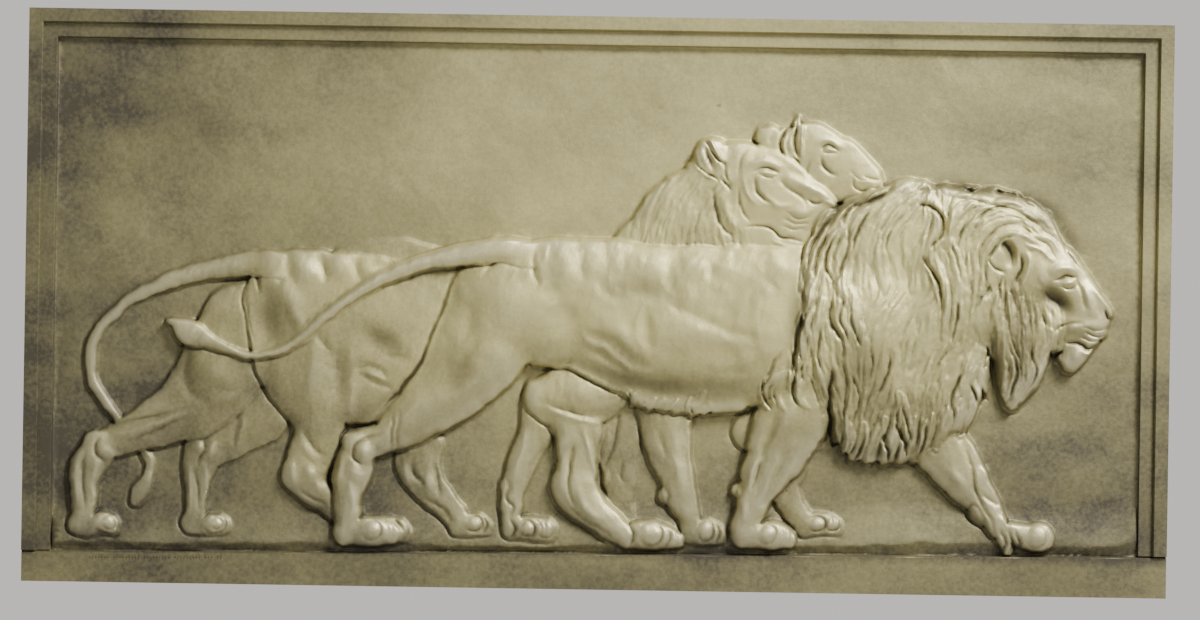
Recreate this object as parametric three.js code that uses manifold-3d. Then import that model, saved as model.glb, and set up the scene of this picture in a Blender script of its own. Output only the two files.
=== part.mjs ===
// Relief plaque: a lion walking to the right in front of two lionesses, cast in one piece with its frame.
// Millimetres. +X is the viewer's right, +Z is up and the front faces -Y.
// The origin is the middle of the flat back.

import * as THREE from 'three';
import { mergeVertices } from 'three/addons/utils/BufferGeometryUtils.js';
import Module from 'manifold-3d';

// Driving dimensions of the figures and of the ground around them
const FIGURES_LENGTH = 838;        // from the rearmost hind paw to the lion's nose
const RELIEF_HEIGHT = 30;          // from the ground to the highest locks of the mane
const MARGIN_BEHIND = 12.5;        // ground between the rearmost paw and the frame
const MARGIN_AHEAD = 18.5;         // ground between the lion's nose and the frame
const MARGIN_ABOVE = 52;           // ground between the highest ear and the frame
const MARGIN_BELOW = 10.5;         // from the sole of the rearmost paw to the base rail

// Driving dimensions of the slab and its frame
const SLAB_THICKNESS = 8;          // from the back to the ground of the relief
const BAND_WIDTH = 11.5;           // inner, lower step of the frame
const BAND_RISE = 5;               // the band's face over the ground
const RIM_WIDTH = 12;              // outer, higher step of the frame
const RIM_STEP = 4;                // the rim's face over the band's
const RAIL_HEIGHT = 24.5;          // plain rail along the foot of the plaque, at its left end
const RAIL_CLIMB = 8.5;            // how much higher the rail is at its right end
const RAIL_STEP = 1.5;             // the rail's face over the band's
const TERRACE_DROP = 1;            // the strip of earth under the paws lies this far below the band
const TERRACE_HEIGHT = 11;         // from the rail up to the edge of the strip of earth
const TERRACE_SWELL = 34;          // from that edge up to where the ground lies level
const CORNER_LAP = 2;              // how far the ground runs in under the frame

// Fineness of the carving
const CARVING_PITCH = 0.8;         // spacing of the points at which the carving is worked out
const EDGE_SLOPE = 2.4;            // width over which a figure's edge drops to what lies behind it
const FACE_BUDGET = 9500;          // faces of the carved front

// The figures are set out on a drawing with x to the right and y down.
// On it they are 1047 long and the highest lock is 44 over the ground.
const DRAWING_LENGTH = 1047;
const DRAWING_DEPTH = 44;
const DRAWING_TURN = 0.9 * Math.PI / 180;
const DRAWING_CENTRE = [600, 305];
const DRAWING_LEFT = -529.5;
const DRAWING_TOP = -194;
const DRAWING_FOOT = 241;

const UNIT = FIGURES_LENGTH / DRAWING_LENGTH;
const DEPTH = RELIEF_HEIGHT / DRAWING_DEPTH;
const PANEL_LENGTH = MARGIN_BEHIND + FIGURES_LENGTH + MARGIN_AHEAD;
const PANEL_HEIGHT = MARGIN_ABOVE + (DRAWING_FOOT - DRAWING_TOP) * UNIT + MARGIN_BELOW;
const LENGTH = PANEL_LENGTH + 2 * (BAND_WIDTH + RIM_WIDTH);
const HEIGHT = RAIL_HEIGHT + PANEL_HEIGHT + BAND_WIDTH + RIM_WIDTH;
const PANEL_LEFT = -PANEL_LENGTH / 2;
const PANEL_FOOT = -HEIGHT / 2 + RAIL_HEIGHT;

// Each part of a body is a row of stations on the drawing: x, y, half width, height of the crown.
// A fifth number lifts the station off the layer's base.
const FAR_LIONESS_BACK = {
  back: [[350, 262, 20, 3], [385, 262, 26, 4], [415, 262, 24, 3], [440, 262, 14, 2]],
};

const FAR_LIONESS_HEAD = {
  skull: [[790, 160, 36, 7], [810, 158, 38, 8]],
  muzzle: [[810, 158, 38, 8], [835, 168, 34, 8], [857, 177, 26, 8], [872, 184, 16, 7]],
  farEar: [[770, 138, 15, 6], [780, 145, 16, 6]],
  nearEar: [[797, 128, 7, 9], [795, 145, 9, 9]],
};

const FAR_LIONESS_FORELEG = {
  leg: [[600, 400, 40, 3], [632, 440, 22, 3], [628, 470, 18, 3], [620, 500, 14, 3],
    [622, 520, 14, 3]],
};

const FAR_LIONESS_NEAR_HIND_LEG = {
  thigh: [[262, 415, 30, 5], [235, 428, 28, 6], [208, 448, 24, 6]],
  cannon: [[205, 452, 23, 6], [199, 472, 18, 6], [197, 492, 14, 6], [195, 512, 12.5, 6]],
  heel: [[192, 522, 12.5, 6], [200, 524, 11, 6]],
  toes: [[208, 523, 13, 7], [219, 523, 12.5, 7]],
};

const FAR_LIONESS_FAR_HIND_LEG = {
  cannon: [[420, 445, 26, 5], [419, 466, 24, 6], [433, 490, 18, 6], [448, 506, 15.5, 6],
    [460, 520, 14, 6]],
  paw: [[461, 524, 13.5, 6], [475, 524, 13.5, 6], [485, 527, 9, 4]],
};

const FAR_LIONESS_FAR_FORELEG = {
  arm: [[752, 432, 20.5, 4], [790, 460, 20, 4], [785, 485, 17, 4], [794, 507, 15, 5],
    [806, 521, 14, 5]],
  paw: [[806, 524, 13, 5], [820, 523, 14, 6], [834, 526, 11.5, 5]],
};

const NEAR_LIONESS_TAIL = {
  tail: [[252, 262, 14, 6], [225, 267, 12, 6], [195, 272, 11.5, 6], [165, 281, 9.5, 6],
    [135, 296, 8.5, 5], [112, 315, 8, 5], [97, 335, 8, 5], [91, 358, 7.8, 5],
    [93, 380, 7.5, 5], [103, 400, 7, 5], [118, 418, 6.5, 5], [135, 440, 6, 3],
    [149, 462, 6.5, 3], [147, 477, 7, 3]],
  tuft: [[147, 477, 7, 3], [141, 490, 10, 3], [134, 502, 6, 2]],
};

const NEAR_LIONESS_TAIL_ROOT = {
  root: [[302, 268, 15, 10, 4], [275, 263, 14.5, 8, 3], [252, 262, 14, 6], [222, 268, 12, 6]],
};

const NEAR_LIONESS_FAR_HIND_LEG = {
  thigh: [[245, 325, 46, 9], [226, 362, 46, 9], [196, 399, 37, 8], [160, 420, 27, 8],
    [130, 433, 20, 7], [106, 444, 19, 7]],
  hock: [[96, 441, 14, 9], [92, 455, 17, 9]],
  cannon: [[100, 450, 20, 7], [89, 465, 20.5, 8], [85, 490, 17, 8], [84, 510, 15, 8]],
  heel: [[82, 522, 15, 8], [92, 525, 13, 8]],
  toes: [[100, 523, 14, 9], [110, 524, 12.5, 8]],
};

const NEAR_LIONESS_FORELEG = {
  arm: [[548, 400, 26, 6], [537, 430, 20, 7], [529, 450, 18, 7], [521, 470, 17, 7],
    [515, 490, 14.5, 7], [513, 505, 13.5, 7], [512, 520, 13, 7]],
  pasterns: [[508, 485, 9.5, 8], [509.5, 497, 8.5, 7], [508, 508, 10.5, 8]],
  paw: [[512, 528, 12, 7], [530, 528, 14, 8], [545, 529, 14, 8]],
};

const NEAR_LIONESS_FAR_FORELEG = {
  arm: [[668, 400, 32, 7], [667, 428, 28, 8], [671, 452, 24, 8], [679, 478, 19, 8],
    [681, 496, 18.5, 8], [689, 512, 13.5, 8], [692, 528, 12, 7]],
  pastern: [[668, 496, 11, 8]],
  paw: [[692, 534, 11, 7], [705, 531, 14, 8], [717, 533, 12, 7]],
};

const NEAR_LIONESS_HEAD = {
  neck: [[645, 262, 40, 7], [668, 238, 41, 9], [697, 217, 52, 11], [735, 215, 50, 11],
    [800, 250, 50, 10]],
  skull: [[722, 186, 42, 12], [738, 180, 42, 13], [760, 188, 42, 13]],
  muzzle: [[760, 188, 42, 13], [785, 200, 36, 13], [805, 208, 28, 12], [818, 208, 22, 10]],
  nose: [[790, 182, 12, 12], [815, 193, 12, 12], [830, 202, 9, 9]],
  ear: [[712, 152, 17, 14], [712, 158, 18, 14], [718, 168, 14, 12]],
};

const NEAR_LIONESS_BODY = {
  haunch: [[298, 300, 54, 13], [345, 312, 62, 12], [400, 328, 70, 11], [450, 330, 72, 10]],
  flank: [[400, 360, 46, 9], [376, 386, 35, 9], [350, 400, 26, 9]],
  thigh: [[300, 310, 54, 13], [305, 360, 50, 12], [318, 405, 34, 10], [320, 435, 27, 9],
    [310, 458, 25, 9], [304, 473, 24, 9]],
  cannon: [[304, 473, 24, 9], [315, 490, 18, 8], [330, 503, 14, 7], [350, 520, 13, 7]],
  paw: [[372, 528, 14, 6], [395, 528, 14, 6], [402, 532, 11, 5]],
};

const LION_FAR_HIND_LEG = {
  thigh: [[600, 378, 40, 10], [578, 396, 40, 12], [564, 398, 36, 12]],
  knee: [[585, 396, 27, 13]],
  shank: [[575, 400, 34, 11], [579, 430, 26, 11], [578, 460, 22, 11], [574, 485, 24, 12]],
  cannon: [[574, 487, 25, 12], [589, 506, 21, 12], [611, 525, 16, 12], [626, 535, 14, 11]],
  paw: [[626, 535, 13, 11], [646, 534, 17, 12], [664, 536, 14, 11], [678, 540, 9, 8]],
};

const LION_FAR_FORELEG = {
  arm: [[925, 425, 34, 12], [943, 448, 31, 12], [966, 478, 25, 12], [980, 497, 19, 11],
    [991, 512, 15, 11], [999, 527, 13, 11]],
  dewclaw: [[979, 511, 10.5, 11], [983, 517, 9, 11]],
  claw: [[1003, 538, 9, 10], [1008, 550, 7, 8]],
  paw: [[1012, 532, 13, 11], [1030, 536, 15, 12], [1040, 537, 16, 13], [1048, 540, 10, 9]],
};

const LION_BODY = {
  trunk: [[503, 304, 55, 20], [550, 302, 66, 23], [580, 303, 65, 24], [602, 306, 70, 25],
    [650, 321, 78, 26], [700, 325, 81, 27], [750, 326, 82, 28], [800, 326, 80, 30],
    [860, 324, 80, 30]],
  belly: [[628, 391, 9, 9, 3], [650, 397, 13, 9, 3], [675, 401, 14, 9, 3],
    [700, 402, 13, 8, 3], [740, 402, 12, 8, 4]],
  thigh: [[500, 308, 54, 22], [482, 345, 50, 21], [457, 380, 40, 18], [430, 405, 31, 16],
    [405, 424, 24, 14], [385, 436, 19, 13], [367, 443, 19, 12]],
  hock: [[358, 445, 17, 14], [366, 452, 15, 14]],
  cannon: [[360, 450, 19, 12], [353, 472, 22, 13], [349, 495, 16.5, 13],
    [348, 518, 14.5, 13], [346, 533, 14, 12]],
  paw: [[346, 533, 14, 11], [362, 531, 16, 13], [376, 531, 15.5, 14], [391, 533, 13, 11]],
};

const LION_TAIL = {
  tail: [[565, 259, 14, 4, 11], [535, 254, 15.5, 5, 12], [510, 250, 14, 6, 12],
    [475, 253, 13, 7, 11], [440, 258, 11, 7, 10], [400, 270, 9.5, 6, 10],
    [360, 291, 7.5, 6, 10], [330, 312, 6.8, 6, 10], [300, 339, 6.2, 5, 9],
    [275, 351, 5.6, 5, 8], [250, 354, 5.2, 5, 7.5], [225, 347, 6.5, 5, 6],
    [206, 337, 9.5, 5, 4]],
  tuft: [[206, 337, 9.5, 5, 4], [191, 332, 15, 6, 3], [178, 324, 8.5, 5, 2],
    [168, 322, 3, 3, 1]],
};

const LION_NEAR_FORELEG = {
  arm: [[808, 380, 38, 20], [792, 420, 39, 20], [780, 448, 34, 19], [768, 470, 27, 17],
    [758, 490, 21, 15], [752, 510, 16.5, 14], [746, 528, 17, 13]],
  dewclaw: [[742, 489, 11.5, 13]],
  paw: [[744, 535, 15, 12], [760, 534, 16, 14], [775, 535, 16, 14], [787, 538, 12, 10]],
};

const LION_MANE = {
  shoulder: [[862, 262, 58, 17], [865, 310, 66, 19], [876, 350, 74, 20], [893, 395, 68, 18]],
  fringe: [[897, 190, 9, 6], [870, 203, 11, 7], [845, 216, 12, 7], [824, 234, 12, 7],
    [812, 256, 10, 7]],
  hem: [[845, 400, 16, 12], [850, 430, 18, 10], [858, 446, 16, 8], [885, 445, 18, 10],
    [915, 438, 17, 10], [940, 425, 16, 10], [960, 410, 16, 10]],
  crest: [[862, 262, 60, 17], [900, 238, 58, 17], [950, 240, 57, 18], [995, 246, 58, 17],
    [1018, 256, 52, 14]],
  throat: [[960, 290, 60, 20], [935, 330, 60, 21], [930, 385, 58, 19]],
};

const LION_HEAD = {
  skull: [[1030, 275, 45, 15], [1045, 276, 40, 15]],
  muzzle: [[1045, 276, 40, 15], [1063, 290, 33, 14], [1080, 305, 26, 13], [1094, 317, 19, 12]],
  nose: [[1085, 290, 12, 13], [1103, 308, 9.5, 12], [1108, 315, 7, 10]],
  lips: [[1060, 325, 22, 11], [1082, 330, 18, 11], [1095, 330, 14, 10]],
  jaw: [[1040, 325, 30, 10], [1065, 335, 18, 10], [1090, 340, 10, 9]],
  chin: [[1090, 338, 13, 8], [1077, 350, 16, 9], [1070, 360, 14.5, 8]],
  beard: [[1010, 320, 36, 13], [1022, 350, 30, 12], [1018, 378, 22, 10], [1012, 398, 11, 7],
    [1010, 408, 3, 4]],
};

// Muscles stand up and folds sink: height, half width, then the points of the stroke on the drawing.
const NEAR_LIONESS_MUSCLES = [
  [3, 12, [[269, 266], [272, 280]]],
  [3.4, 15, [[303, 261], [308, 276]]],
  [3, 13, [[338, 256], [341, 268]]],
  [1.6, 10, [[368, 268], [378, 282]]],
  [-2, 7, [[287, 255], [289, 275]]],
  [-2, 7, [[322, 258], [325, 280]]],
  [-1.5, 7, [[356, 262], [360, 280]]],
  [-4, 26, [[266, 316], [274, 338]]],
  [3, 12, [[284, 284], [296, 310], [304, 332]]],
  [2.5, 12, [[312, 345], [313, 375], [312, 400]]],
  [-3, 12, [[333, 352], [338, 390]]],
  [-2.4, 4, [[318, 334], [328, 349], [338, 359]]],
  [2.2, 9, [[350, 350], [352, 385], [350, 412]]],
  [-4, 16, [[368, 335], [390, 348]]],
  [-2.6, 4, [[364, 328], [372, 342], [383, 352], [396, 358], [408, 360]]],
  [-2.4, 3.5, [[357, 368], [369, 365], [380, 369], [386, 376]]],
  [-2.4, 3.5, [[362, 374], [374, 382], [386, 386], [396, 394]]],
  [1.6, 4, [[358, 371], [370, 374], [384, 381]]],
  [-3, 3.2, [[247, 282], [248, 300], [251, 320], [254, 335], [258, 345]]],
  [-2.5, 3.2, [[255, 268], [258, 280], [259, 292]]],
  [1.8, 3.5, [[300, 432], [308, 448], [320, 461]]],
  [-1.6, 3, [[304, 430], [313, 446], [324, 457]]],
  [2, 5, [[290, 462], [294, 482]]],
  [2.4, 8, [[308, 468], [312, 478]]],
  [2.2, 7, [[318, 484], [322, 490]]],
  [-1.6, 3, [[300, 490], [312, 498], [325, 505]]],
];

const NEAR_LIONESS_FAR_LEG_MUSCLES = [
  [2.6, 18, [[205, 365], [228, 378]]],
  [-3, 5, [[185, 356], [183, 375], [187, 390], [198, 399]]],
  [2, 10, [[215, 400], [235, 396]]],
  [-1.8, 3, [[108, 426], [140, 419], [175, 412]]],
  [-1.8, 3, [[128, 442], [150, 432], [185, 418]]],
  [1.5, 5, [[112, 436], [150, 425], [190, 412]]],
  [-2.2, 3.2, [[97, 438], [96, 452], [103, 460]]],
  [2, 7, [[104, 450], [112, 456]]],
  [2, 6, [[98, 463], [94, 480]]],
  [1.8, 5, [[78, 452], [75, 475], [76, 505]]],
  [-1.6, 3.2, [[85, 452], [83, 480], [85, 505]]],
  [1.5, 4, [[94, 480], [93, 508]]],
];

const FAR_LIONESS_NEAR_LEG_MUSCLES = [
  [-1.8, 3, [[237, 412], [236, 430], [233, 452]]],
  [1.4, 3, [[242, 412], [241, 430], [238, 450]]],
  [2.2, 6, [[196, 444], [202, 450]]],
  [2, 5, [[212, 443], [210, 454]]],
  [-2, 3, [[204, 440], [203, 452], [197, 464]]],
  [1.6, 4, [[205, 465], [207, 490], [206, 508]]],
  [-1.6, 3, [[196, 470], [198, 490], [198, 508]]],
  [1.6, 4, [[188, 460], [189, 490], [188, 512]]],
];

const FAR_LIONESS_FAR_LEG_MUSCLES = [
  [-2.2, 3.5, [[412, 462], [414, 475], [424, 484]]],
  [2, 6, [[404, 466], [408, 480]]],
  [2.4, 7, [[427, 478], [432, 490]]],
  [-1.8, 3, [[433, 462], [437, 480], [440, 495]]],
  [1.8, 5, [[445, 480], [457, 497], [470, 512]]],
  [-1.8, 3.5, [[425, 498], [440, 508], [452, 522]]],
];

const NEAR_LIONESS_FORELEG_MUSCLES = [
  [-1.6, 3, [[545, 446], [532, 466], [526, 488]]],
  [1.6, 6, [[524, 430], [519, 460], [512, 480]]],
  [-2, 3, [[507, 478], [510, 488], [506, 498], [513, 508], [509, 519]]],
  [-1.4, 2.6, [[527, 492], [524, 508]]],
];

const NEAR_LIONESS_FAR_FORELEG_MUSCLES = [
  [1.8, 8, [[672, 425], [676, 460], [682, 490]]],
  [-1.4, 4, [[658, 430], [665, 455]]],
  [-1.8, 3, [[665, 485], [669, 495], [667, 504]]],
  [1.6, 4, [[688, 430], [692, 470], [696, 500]]],
];

const FAR_LIONESS_FORELEG_MUSCLES = [
  [1.5, 5, [[608, 430], [606, 455]]],
  [-2, 3, [[618, 412], [617, 432], [611, 452], [603, 470]]],
  [2, 5, [[605, 474], [606, 484]]],
  [-1.5, 3, [[623, 462], [620, 475], [624, 482]]],
];

const LION_MUSCLES = [
  [3, 15, [[557, 253], [560, 272]]],
  [2.4, 11, [[590, 255], [591, 272]]],
  [2, 10, [[617, 254], [618, 268]]],
  [2.6, 20, [[640, 262], [660, 268]]],
  [1.6, 14, [[684, 264], [700, 268]]],
  [1.4, 14, [[722, 266], [738, 270]]],
  [2.4, 14, [[770, 262], [788, 266]]],
  [-1.8, 6, [[574, 250], [576, 285]]],
  [-1.4, 5, [[602, 252], [601, 275]]],
  [-2, 5, [[601, 274], [602, 288], [612, 297], [626, 298]]],
  [-1.8, 9, [[668, 262], [672, 290]]],
  [-1.2, 8, [[708, 262], [712, 280]]],
  [-1.6, 14, [[620, 286], [655, 292]]],
  [-1.6, 14, [[545, 292], [590, 300]]],
  [3.2, 20, [[668, 322], [692, 332], [722, 344]]],
  [-1.8, 9, [[662, 292], [672, 304], [690, 314], [712, 324], [735, 333], [757, 339]]],
  [-2.4, 10, [[645, 312], [648, 345]]],
  [-1.4, 12, [[700, 350], [740, 356]]],
  [-2.2, 7, [[578, 330], [600, 338], [617, 348], [632, 360], [645, 366]]],
  [2, 5, [[585, 341], [603, 349], [618, 360], [632, 371]]],
  [-2, 7, [[588, 351], [606, 358], [622, 369], [636, 379], [652, 383]]],
  [1.6, 6, [[555, 350], [585, 358], [605, 367]]],
  [-3, 14, [[655, 384], [690, 386], [740, 384]]],
  [4, 40, [[512, 290], [522, 330]]],
  [3, 30, [[505, 350], [490, 375]]],
  [-3, 24, [[566, 300], [572, 335]]],
  [-2.4, 14, [[470, 305], [468, 335]]],
  [-2, 16, [[462, 372], [452, 388]]],
  [2, 12, [[440, 402], [470, 387], [500, 372]]],
  [-2, 4.5, [[539, 243], [533, 256], [535, 272], [541, 286]]],
  [1.5, 6, [[547, 247], [545, 262]]],
  [-2, 4, [[497, 258], [490, 266], [484, 274]]],
  [-2, 14, [[786, 300], [782, 345]]],
  [-1.2, 3, [[763, 279], [769, 284], [777, 291]]],
  [-2.6, 3.2, [[382, 432], [367, 438], [356, 446], [353, 457], [361, 463]]],
  [2, 7, [[363, 450], [369, 454]]],
  [2.2, 8, [[352, 467], [359, 477]]],
  [1.8, 5, [[352, 482], [353, 518]]],
  [-1.6, 3, [[361, 482], [361, 515]]],
  [-1.8, 3, [[394, 414], [392, 436], [389, 454]]],
  [-1.4, 3, [[400, 412], [397, 436], [395, 450]]],
  [1.6, 5, [[347, 440], [341, 462], [339, 485]]],
  [1.5, 10, [[690, 296], [680, 318]]],
  [-1.2, 8, [[640, 300], [628, 330], [640, 352]]],
  [1.4, 10, [[735, 346], [748, 366]]],
  [1.6, 12, [[600, 318], [622, 332], [640, 350]]],
  [-1.3, 9, [[770, 360], [740, 372], [700, 374]]],
  [1.3, 9, [[560, 330], [548, 352], [525, 372]]],
  [-1.3, 7, [[480, 330], [470, 350], [452, 372]]],
  [1.2, 6, [[420, 400], [404, 414], [390, 424]]],
  [1.2, 9, [[765, 290], [756, 310], [760, 330]]],
  ...[700, 722, 745, 768].map((x) => [0.8, 8, [[x, 300], [x - 10, 330], [x - 4, 360]]]),
];

const LION_FAR_LEG_MUSCLES = [
  [2.4, 18, [[560, 386], [590, 390]]],
  [-2.6, 4, [[536, 398], [556, 408], [575, 413], [598, 418], [608, 412]]],
  [1.6, 4, [[545, 405], [560, 414], [580, 420], [600, 424]]],
  [2, 4.5, [[581, 422], [587, 442], [594, 464], [602, 484], [616, 503], [630, 524]]],
  [-2.2, 3, [[574, 440], [570, 465], [568, 490], [575, 506]]],
  [-1.6, 3, [[591, 428], [597, 455], [600, 474]]],
  [2, 7, [[561, 440], [562, 470], [558, 490]]],
  [1.8, 5, [[578, 490], [586, 508], [602, 520]]],
  [-1.8, 3, [[570, 508], [584, 519], [600, 528], [612, 537]]],
];

const LION_FORELEG_MUSCLES = [
  [2.4, 12, [[790, 402], [780, 430]]],
  [-2.6, 7, [[775, 418], [766, 440], [758, 460]]],
  [2, 5, [[758, 455], [751, 475], [746, 492]]],
  [-2.4, 4, [[765, 455], [758, 472], [751, 488]]],
  [2, 6, [[776, 462], [766, 485], [756, 505]]],
  [-2, 4, [[787, 452], [776, 475], [765, 497]]],
  [1.6, 5, [[800, 452], [786, 478], [771, 503]]],
  [-1.8, 3, [[739, 482], [742, 491], [739, 499]]],
  [2, 6, [[760, 508], [766, 512]]],
  [1.6, 5, [[745, 505], [743, 520]]],
];

const LION_FAR_FORELEG_MUSCLES = [
  [-2.6, 3.2, [[963, 440], [970, 465], [975, 488], [983, 505], [991, 520], [993, 532]]],
  [3, 6, [[984, 470], [991, 482], [996, 494]]],
  [-1.8, 3, [[982, 492], [990, 500], [997, 504]]],
  [2.4, 6, [[1002, 518], [1012, 526]]],
  [2, 6, [[950, 468], [966, 492]]],
  [1.8, 4, [[970, 440], [978, 458]]],
  [-1.6, 3, [[968, 508], [973, 505], [982, 511], [984, 522]]],
];


// A toe seen end on: a round knuckle with a fold about it
function curledToe(x, y, size) {
  const turns = [-2.6, -1.3, 0, 1.3, 2.6];
  const ring = turns.map((turn) => [x + size * Math.cos(turn), y + size * Math.sin(turn)]);
  return [[2.2, size, [[x - 1, y], [x + 1, y]]], [-2.4, 2.6, ring]];
}

// Folds between toes that stand side by side
function toeFolds(places, top, foot) {
  return places.map((x) => [-2.4, 2.6, [[x - 3, top], [x + 1.5, (top + foot) / 2], [x - 2, foot]]]);
}

// Toes of each paw, from the left
const NEAR_LIONESS_FAR_HIND_TOES = toeFolds([97, 104, 111, 118], 512, 537);
const FAR_LIONESS_NEAR_HIND_TOES = toeFolds([207, 214, 221], 512, 535);
const LION_HIND_TOES = [...curledToe(372, 530, 10), ...toeFolds([388, 396], 519, 545)];
const NEAR_LIONESS_HIND_TOES = toeFolds([398, 406], 516, 540);
const FAR_LIONESS_FAR_HIND_TOES = toeFolds([473, 482], 514, 535);
const NEAR_LIONESS_FORE_TOES = [...curledToe(545, 529, 9), ...toeFolds([512, 521, 530], 518, 540)];
const LION_FAR_HIND_TOES = [...curledToe(650, 534, 12), ...toeFolds([631, 668], 523, 547)];
const NEAR_LIONESS_FAR_FORE_TOES = [...curledToe(706, 531, 9), ...toeFolds([719], 522, 541)];
const LION_FORE_TOES = [...curledToe(766, 534, 11), ...toeFolds([781, 789], 523, 548)];
const FAR_LIONESS_FORE_TOES = [...curledToe(817, 524, 8), ...curledToe(833, 524, 8)];
const LION_FAR_FORE_TOES = [...toeFolds([1003, 1010, 1017], 530, 554), ...curledToe(1036, 536, 11)];

// Faces
const LION_FACE = [
  [4, 6, [[1050, 270], [1063, 267], [1076, 271]]],
  [-3.6, 2.6, [[1054, 280], [1063, 277], [1075, 278]]],
  [2.6, 2.6, [[1062, 283], [1071, 283]]],
  [-2.4, 1.8, [[1058, 286], [1068, 289], [1077, 284]]],
  [-8, 15, [[1046, 300], [1060, 306]]],
  [-2.5, 6, [[1040, 285], [1046, 296]]],
  [3, 7, [[1080, 288], [1088, 302], [1092, 314]]],
  [-2.4, 2.6, [[1074, 277], [1080, 292], [1083, 308]]],
  [2.4, 4, [[1092, 290], [1101, 300], [1108, 308]]],
  [-4.5, 2.4, [[1104, 311], [1108, 318], [1115, 318]]],
  [2.6, 8, [[1068, 326], [1084, 326], [1098, 326]]],
  [-2.4, 2, [[1050, 334], [1062, 325], [1082, 322]]],
  [-2, 1.7, [[1082, 326], [1094, 330], [1106, 327]]],
  [-2, 1.7, [[1084, 332], [1096, 337], [1106, 334]]],
  [-2, 1.7, [[1080, 338], [1090, 342], [1102, 340]]],
  [-4.5, 2.6, [[1064, 342], [1078, 344], [1088, 349], [1104, 343]]],
  [2.4, 3, [[1078, 352], [1090, 354], [1098, 350]]],
  [-6, 3.4, [[1053, 353], [1057, 365], [1064, 372], [1074, 376]]],
  [3, 9, [[1074, 352], [1077, 360]]],
  [4.5, 4, [[994, 270], [988, 260], [988, 248], [994, 239], [1006, 234], [1020, 234], [1036, 242]]],
  [-4, 2.4, [[984, 246], [987, 258], [993, 268], [1003, 273]]],
  [-6.5, 5, [[1003, 244], [1010, 252], [1010, 262]]],
  [3.5, 4, [[1024, 252], [1028, 264], [1024, 280], [1012, 296]]],
  [-4.5, 2.6, [[1018, 256], [1020, 270], [1013, 285]]],
  [-3.6, 2.4, [[1000, 279], [997, 290], [1000, 304]]],
  [2, 8, [[1034, 262], [1042, 276], [1040, 292]]],
  [-2, 3, [[1036, 300], [1042, 318], [1052, 330]]],
  [2.2, 3, [[1034, 228], [1048, 236], [1058, 250]]],
  [-2.2, 2.4, [[1030, 236], [1044, 244], [1052, 256]]],
  [2.2, 3, [[1024, 244], [1038, 250], [1048, 260]]],
  [-2.2, 2.4, [[1060, 236], [1068, 252], [1078, 268]]],
  [2, 3, [[1066, 244], [1074, 258], [1086, 274]]],
];

const NEAR_LIONESS_FACE = [
  [2, 5, [[750, 164], [764, 161], [780, 168]]],
  [-2.6, 1.9, [[755, 172], [763, 168], [772, 170], [778, 174]]],
  [1.6, 2, [[762, 173], [771, 173]]],
  [-1.8, 1.4, [[758, 175], [768, 178], [777, 176]]],
  [-2.2, 2, [[756, 182], [758, 192], [764, 200], [771, 203]]],
  [1.5, 5, [[786, 176], [812, 190], [832, 201]]],
  [-1.6, 3, [[780, 180], [800, 196], [806, 206]]],
  [-2.8, 1.8, [[806, 200], [812, 204], [820, 204]]],
  [1.6, 3, [[822, 200], [834, 206], [838, 212]]],
  [2, 7, [[790, 212], [806, 214]]],
  [-1.5, 1.3, [[786, 213], [795, 219], [806, 218], [812, 212]]],
  [-1.5, 1.3, [[784, 219], [795, 225], [808, 223]]],
  [-1.3, 1.3, [[782, 225], [793, 230], [804, 229]]],
  [-2.6, 1.8, [[745, 228], [758, 227], [770, 229], [779, 236], [790, 238], [803, 243]]],
  [1.6, 3, [[770, 240], [785, 246], [800, 249]]],
  [3.5, 3, [[697, 143], [695, 153], [698, 166], [706, 175], [716, 178]]],
  [3, 2.6, [[703, 137], [712, 143], [720, 158], [727, 172], [729, 183]]],
  [-5, 5, [[706, 148], [710, 158], [714, 168]]],
  [-2.5, 2.2, [[722, 178], [730, 190]]],
  [-2.6, 3, [[712, 190], [715, 210], [722, 228], [733, 238]]],
  [2, 5, [[724, 196], [727, 214], [738, 230]]],
  [-1.8, 2, [[738, 190], [740, 208], [748, 222]]],
];

const FAR_LIONESS_FACE = [
  [1.8, 4, [[818, 142], [830, 140], [842, 146]]],
  [-2.4, 1.8, [[822, 149], [828, 145], [838, 149]]],
  [1.4, 1.8, [[826, 149], [833, 149]]],
  [-1.5, 1.4, [[823, 152], [830, 153], [837, 151]]],
  [-1.8, 1.8, [[821, 158], [825, 168], [835, 176]]],
  [-2, 1.6, [[866, 176], [872, 179], [879, 179]]],
  [-2.2, 1.6, [[852, 178], [853, 187], [860, 190], [872, 190], [882, 187]]],
  [1.5, 5, [[862, 180], [874, 184]]],
  [-1.2, 1.2, [[850, 172], [858, 178], [868, 180]]],
  [3, 2.6, [[800, 116], [803, 124], [802, 140], [800, 156]]],
  [-4, 3.4, [[793, 126], [790, 140], [791, 154]]],
  [2.4, 2.2, [[787, 122], [785, 134], [781, 146], [781, 156]]],
  [-2.4, 1.8, [[793, 158], [798, 164]]],
  [-1.6, 4, [[774, 132], [770, 142]]],
  [-1.6, 2, [[808, 160], [806, 176], [812, 190]]],
];

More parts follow.
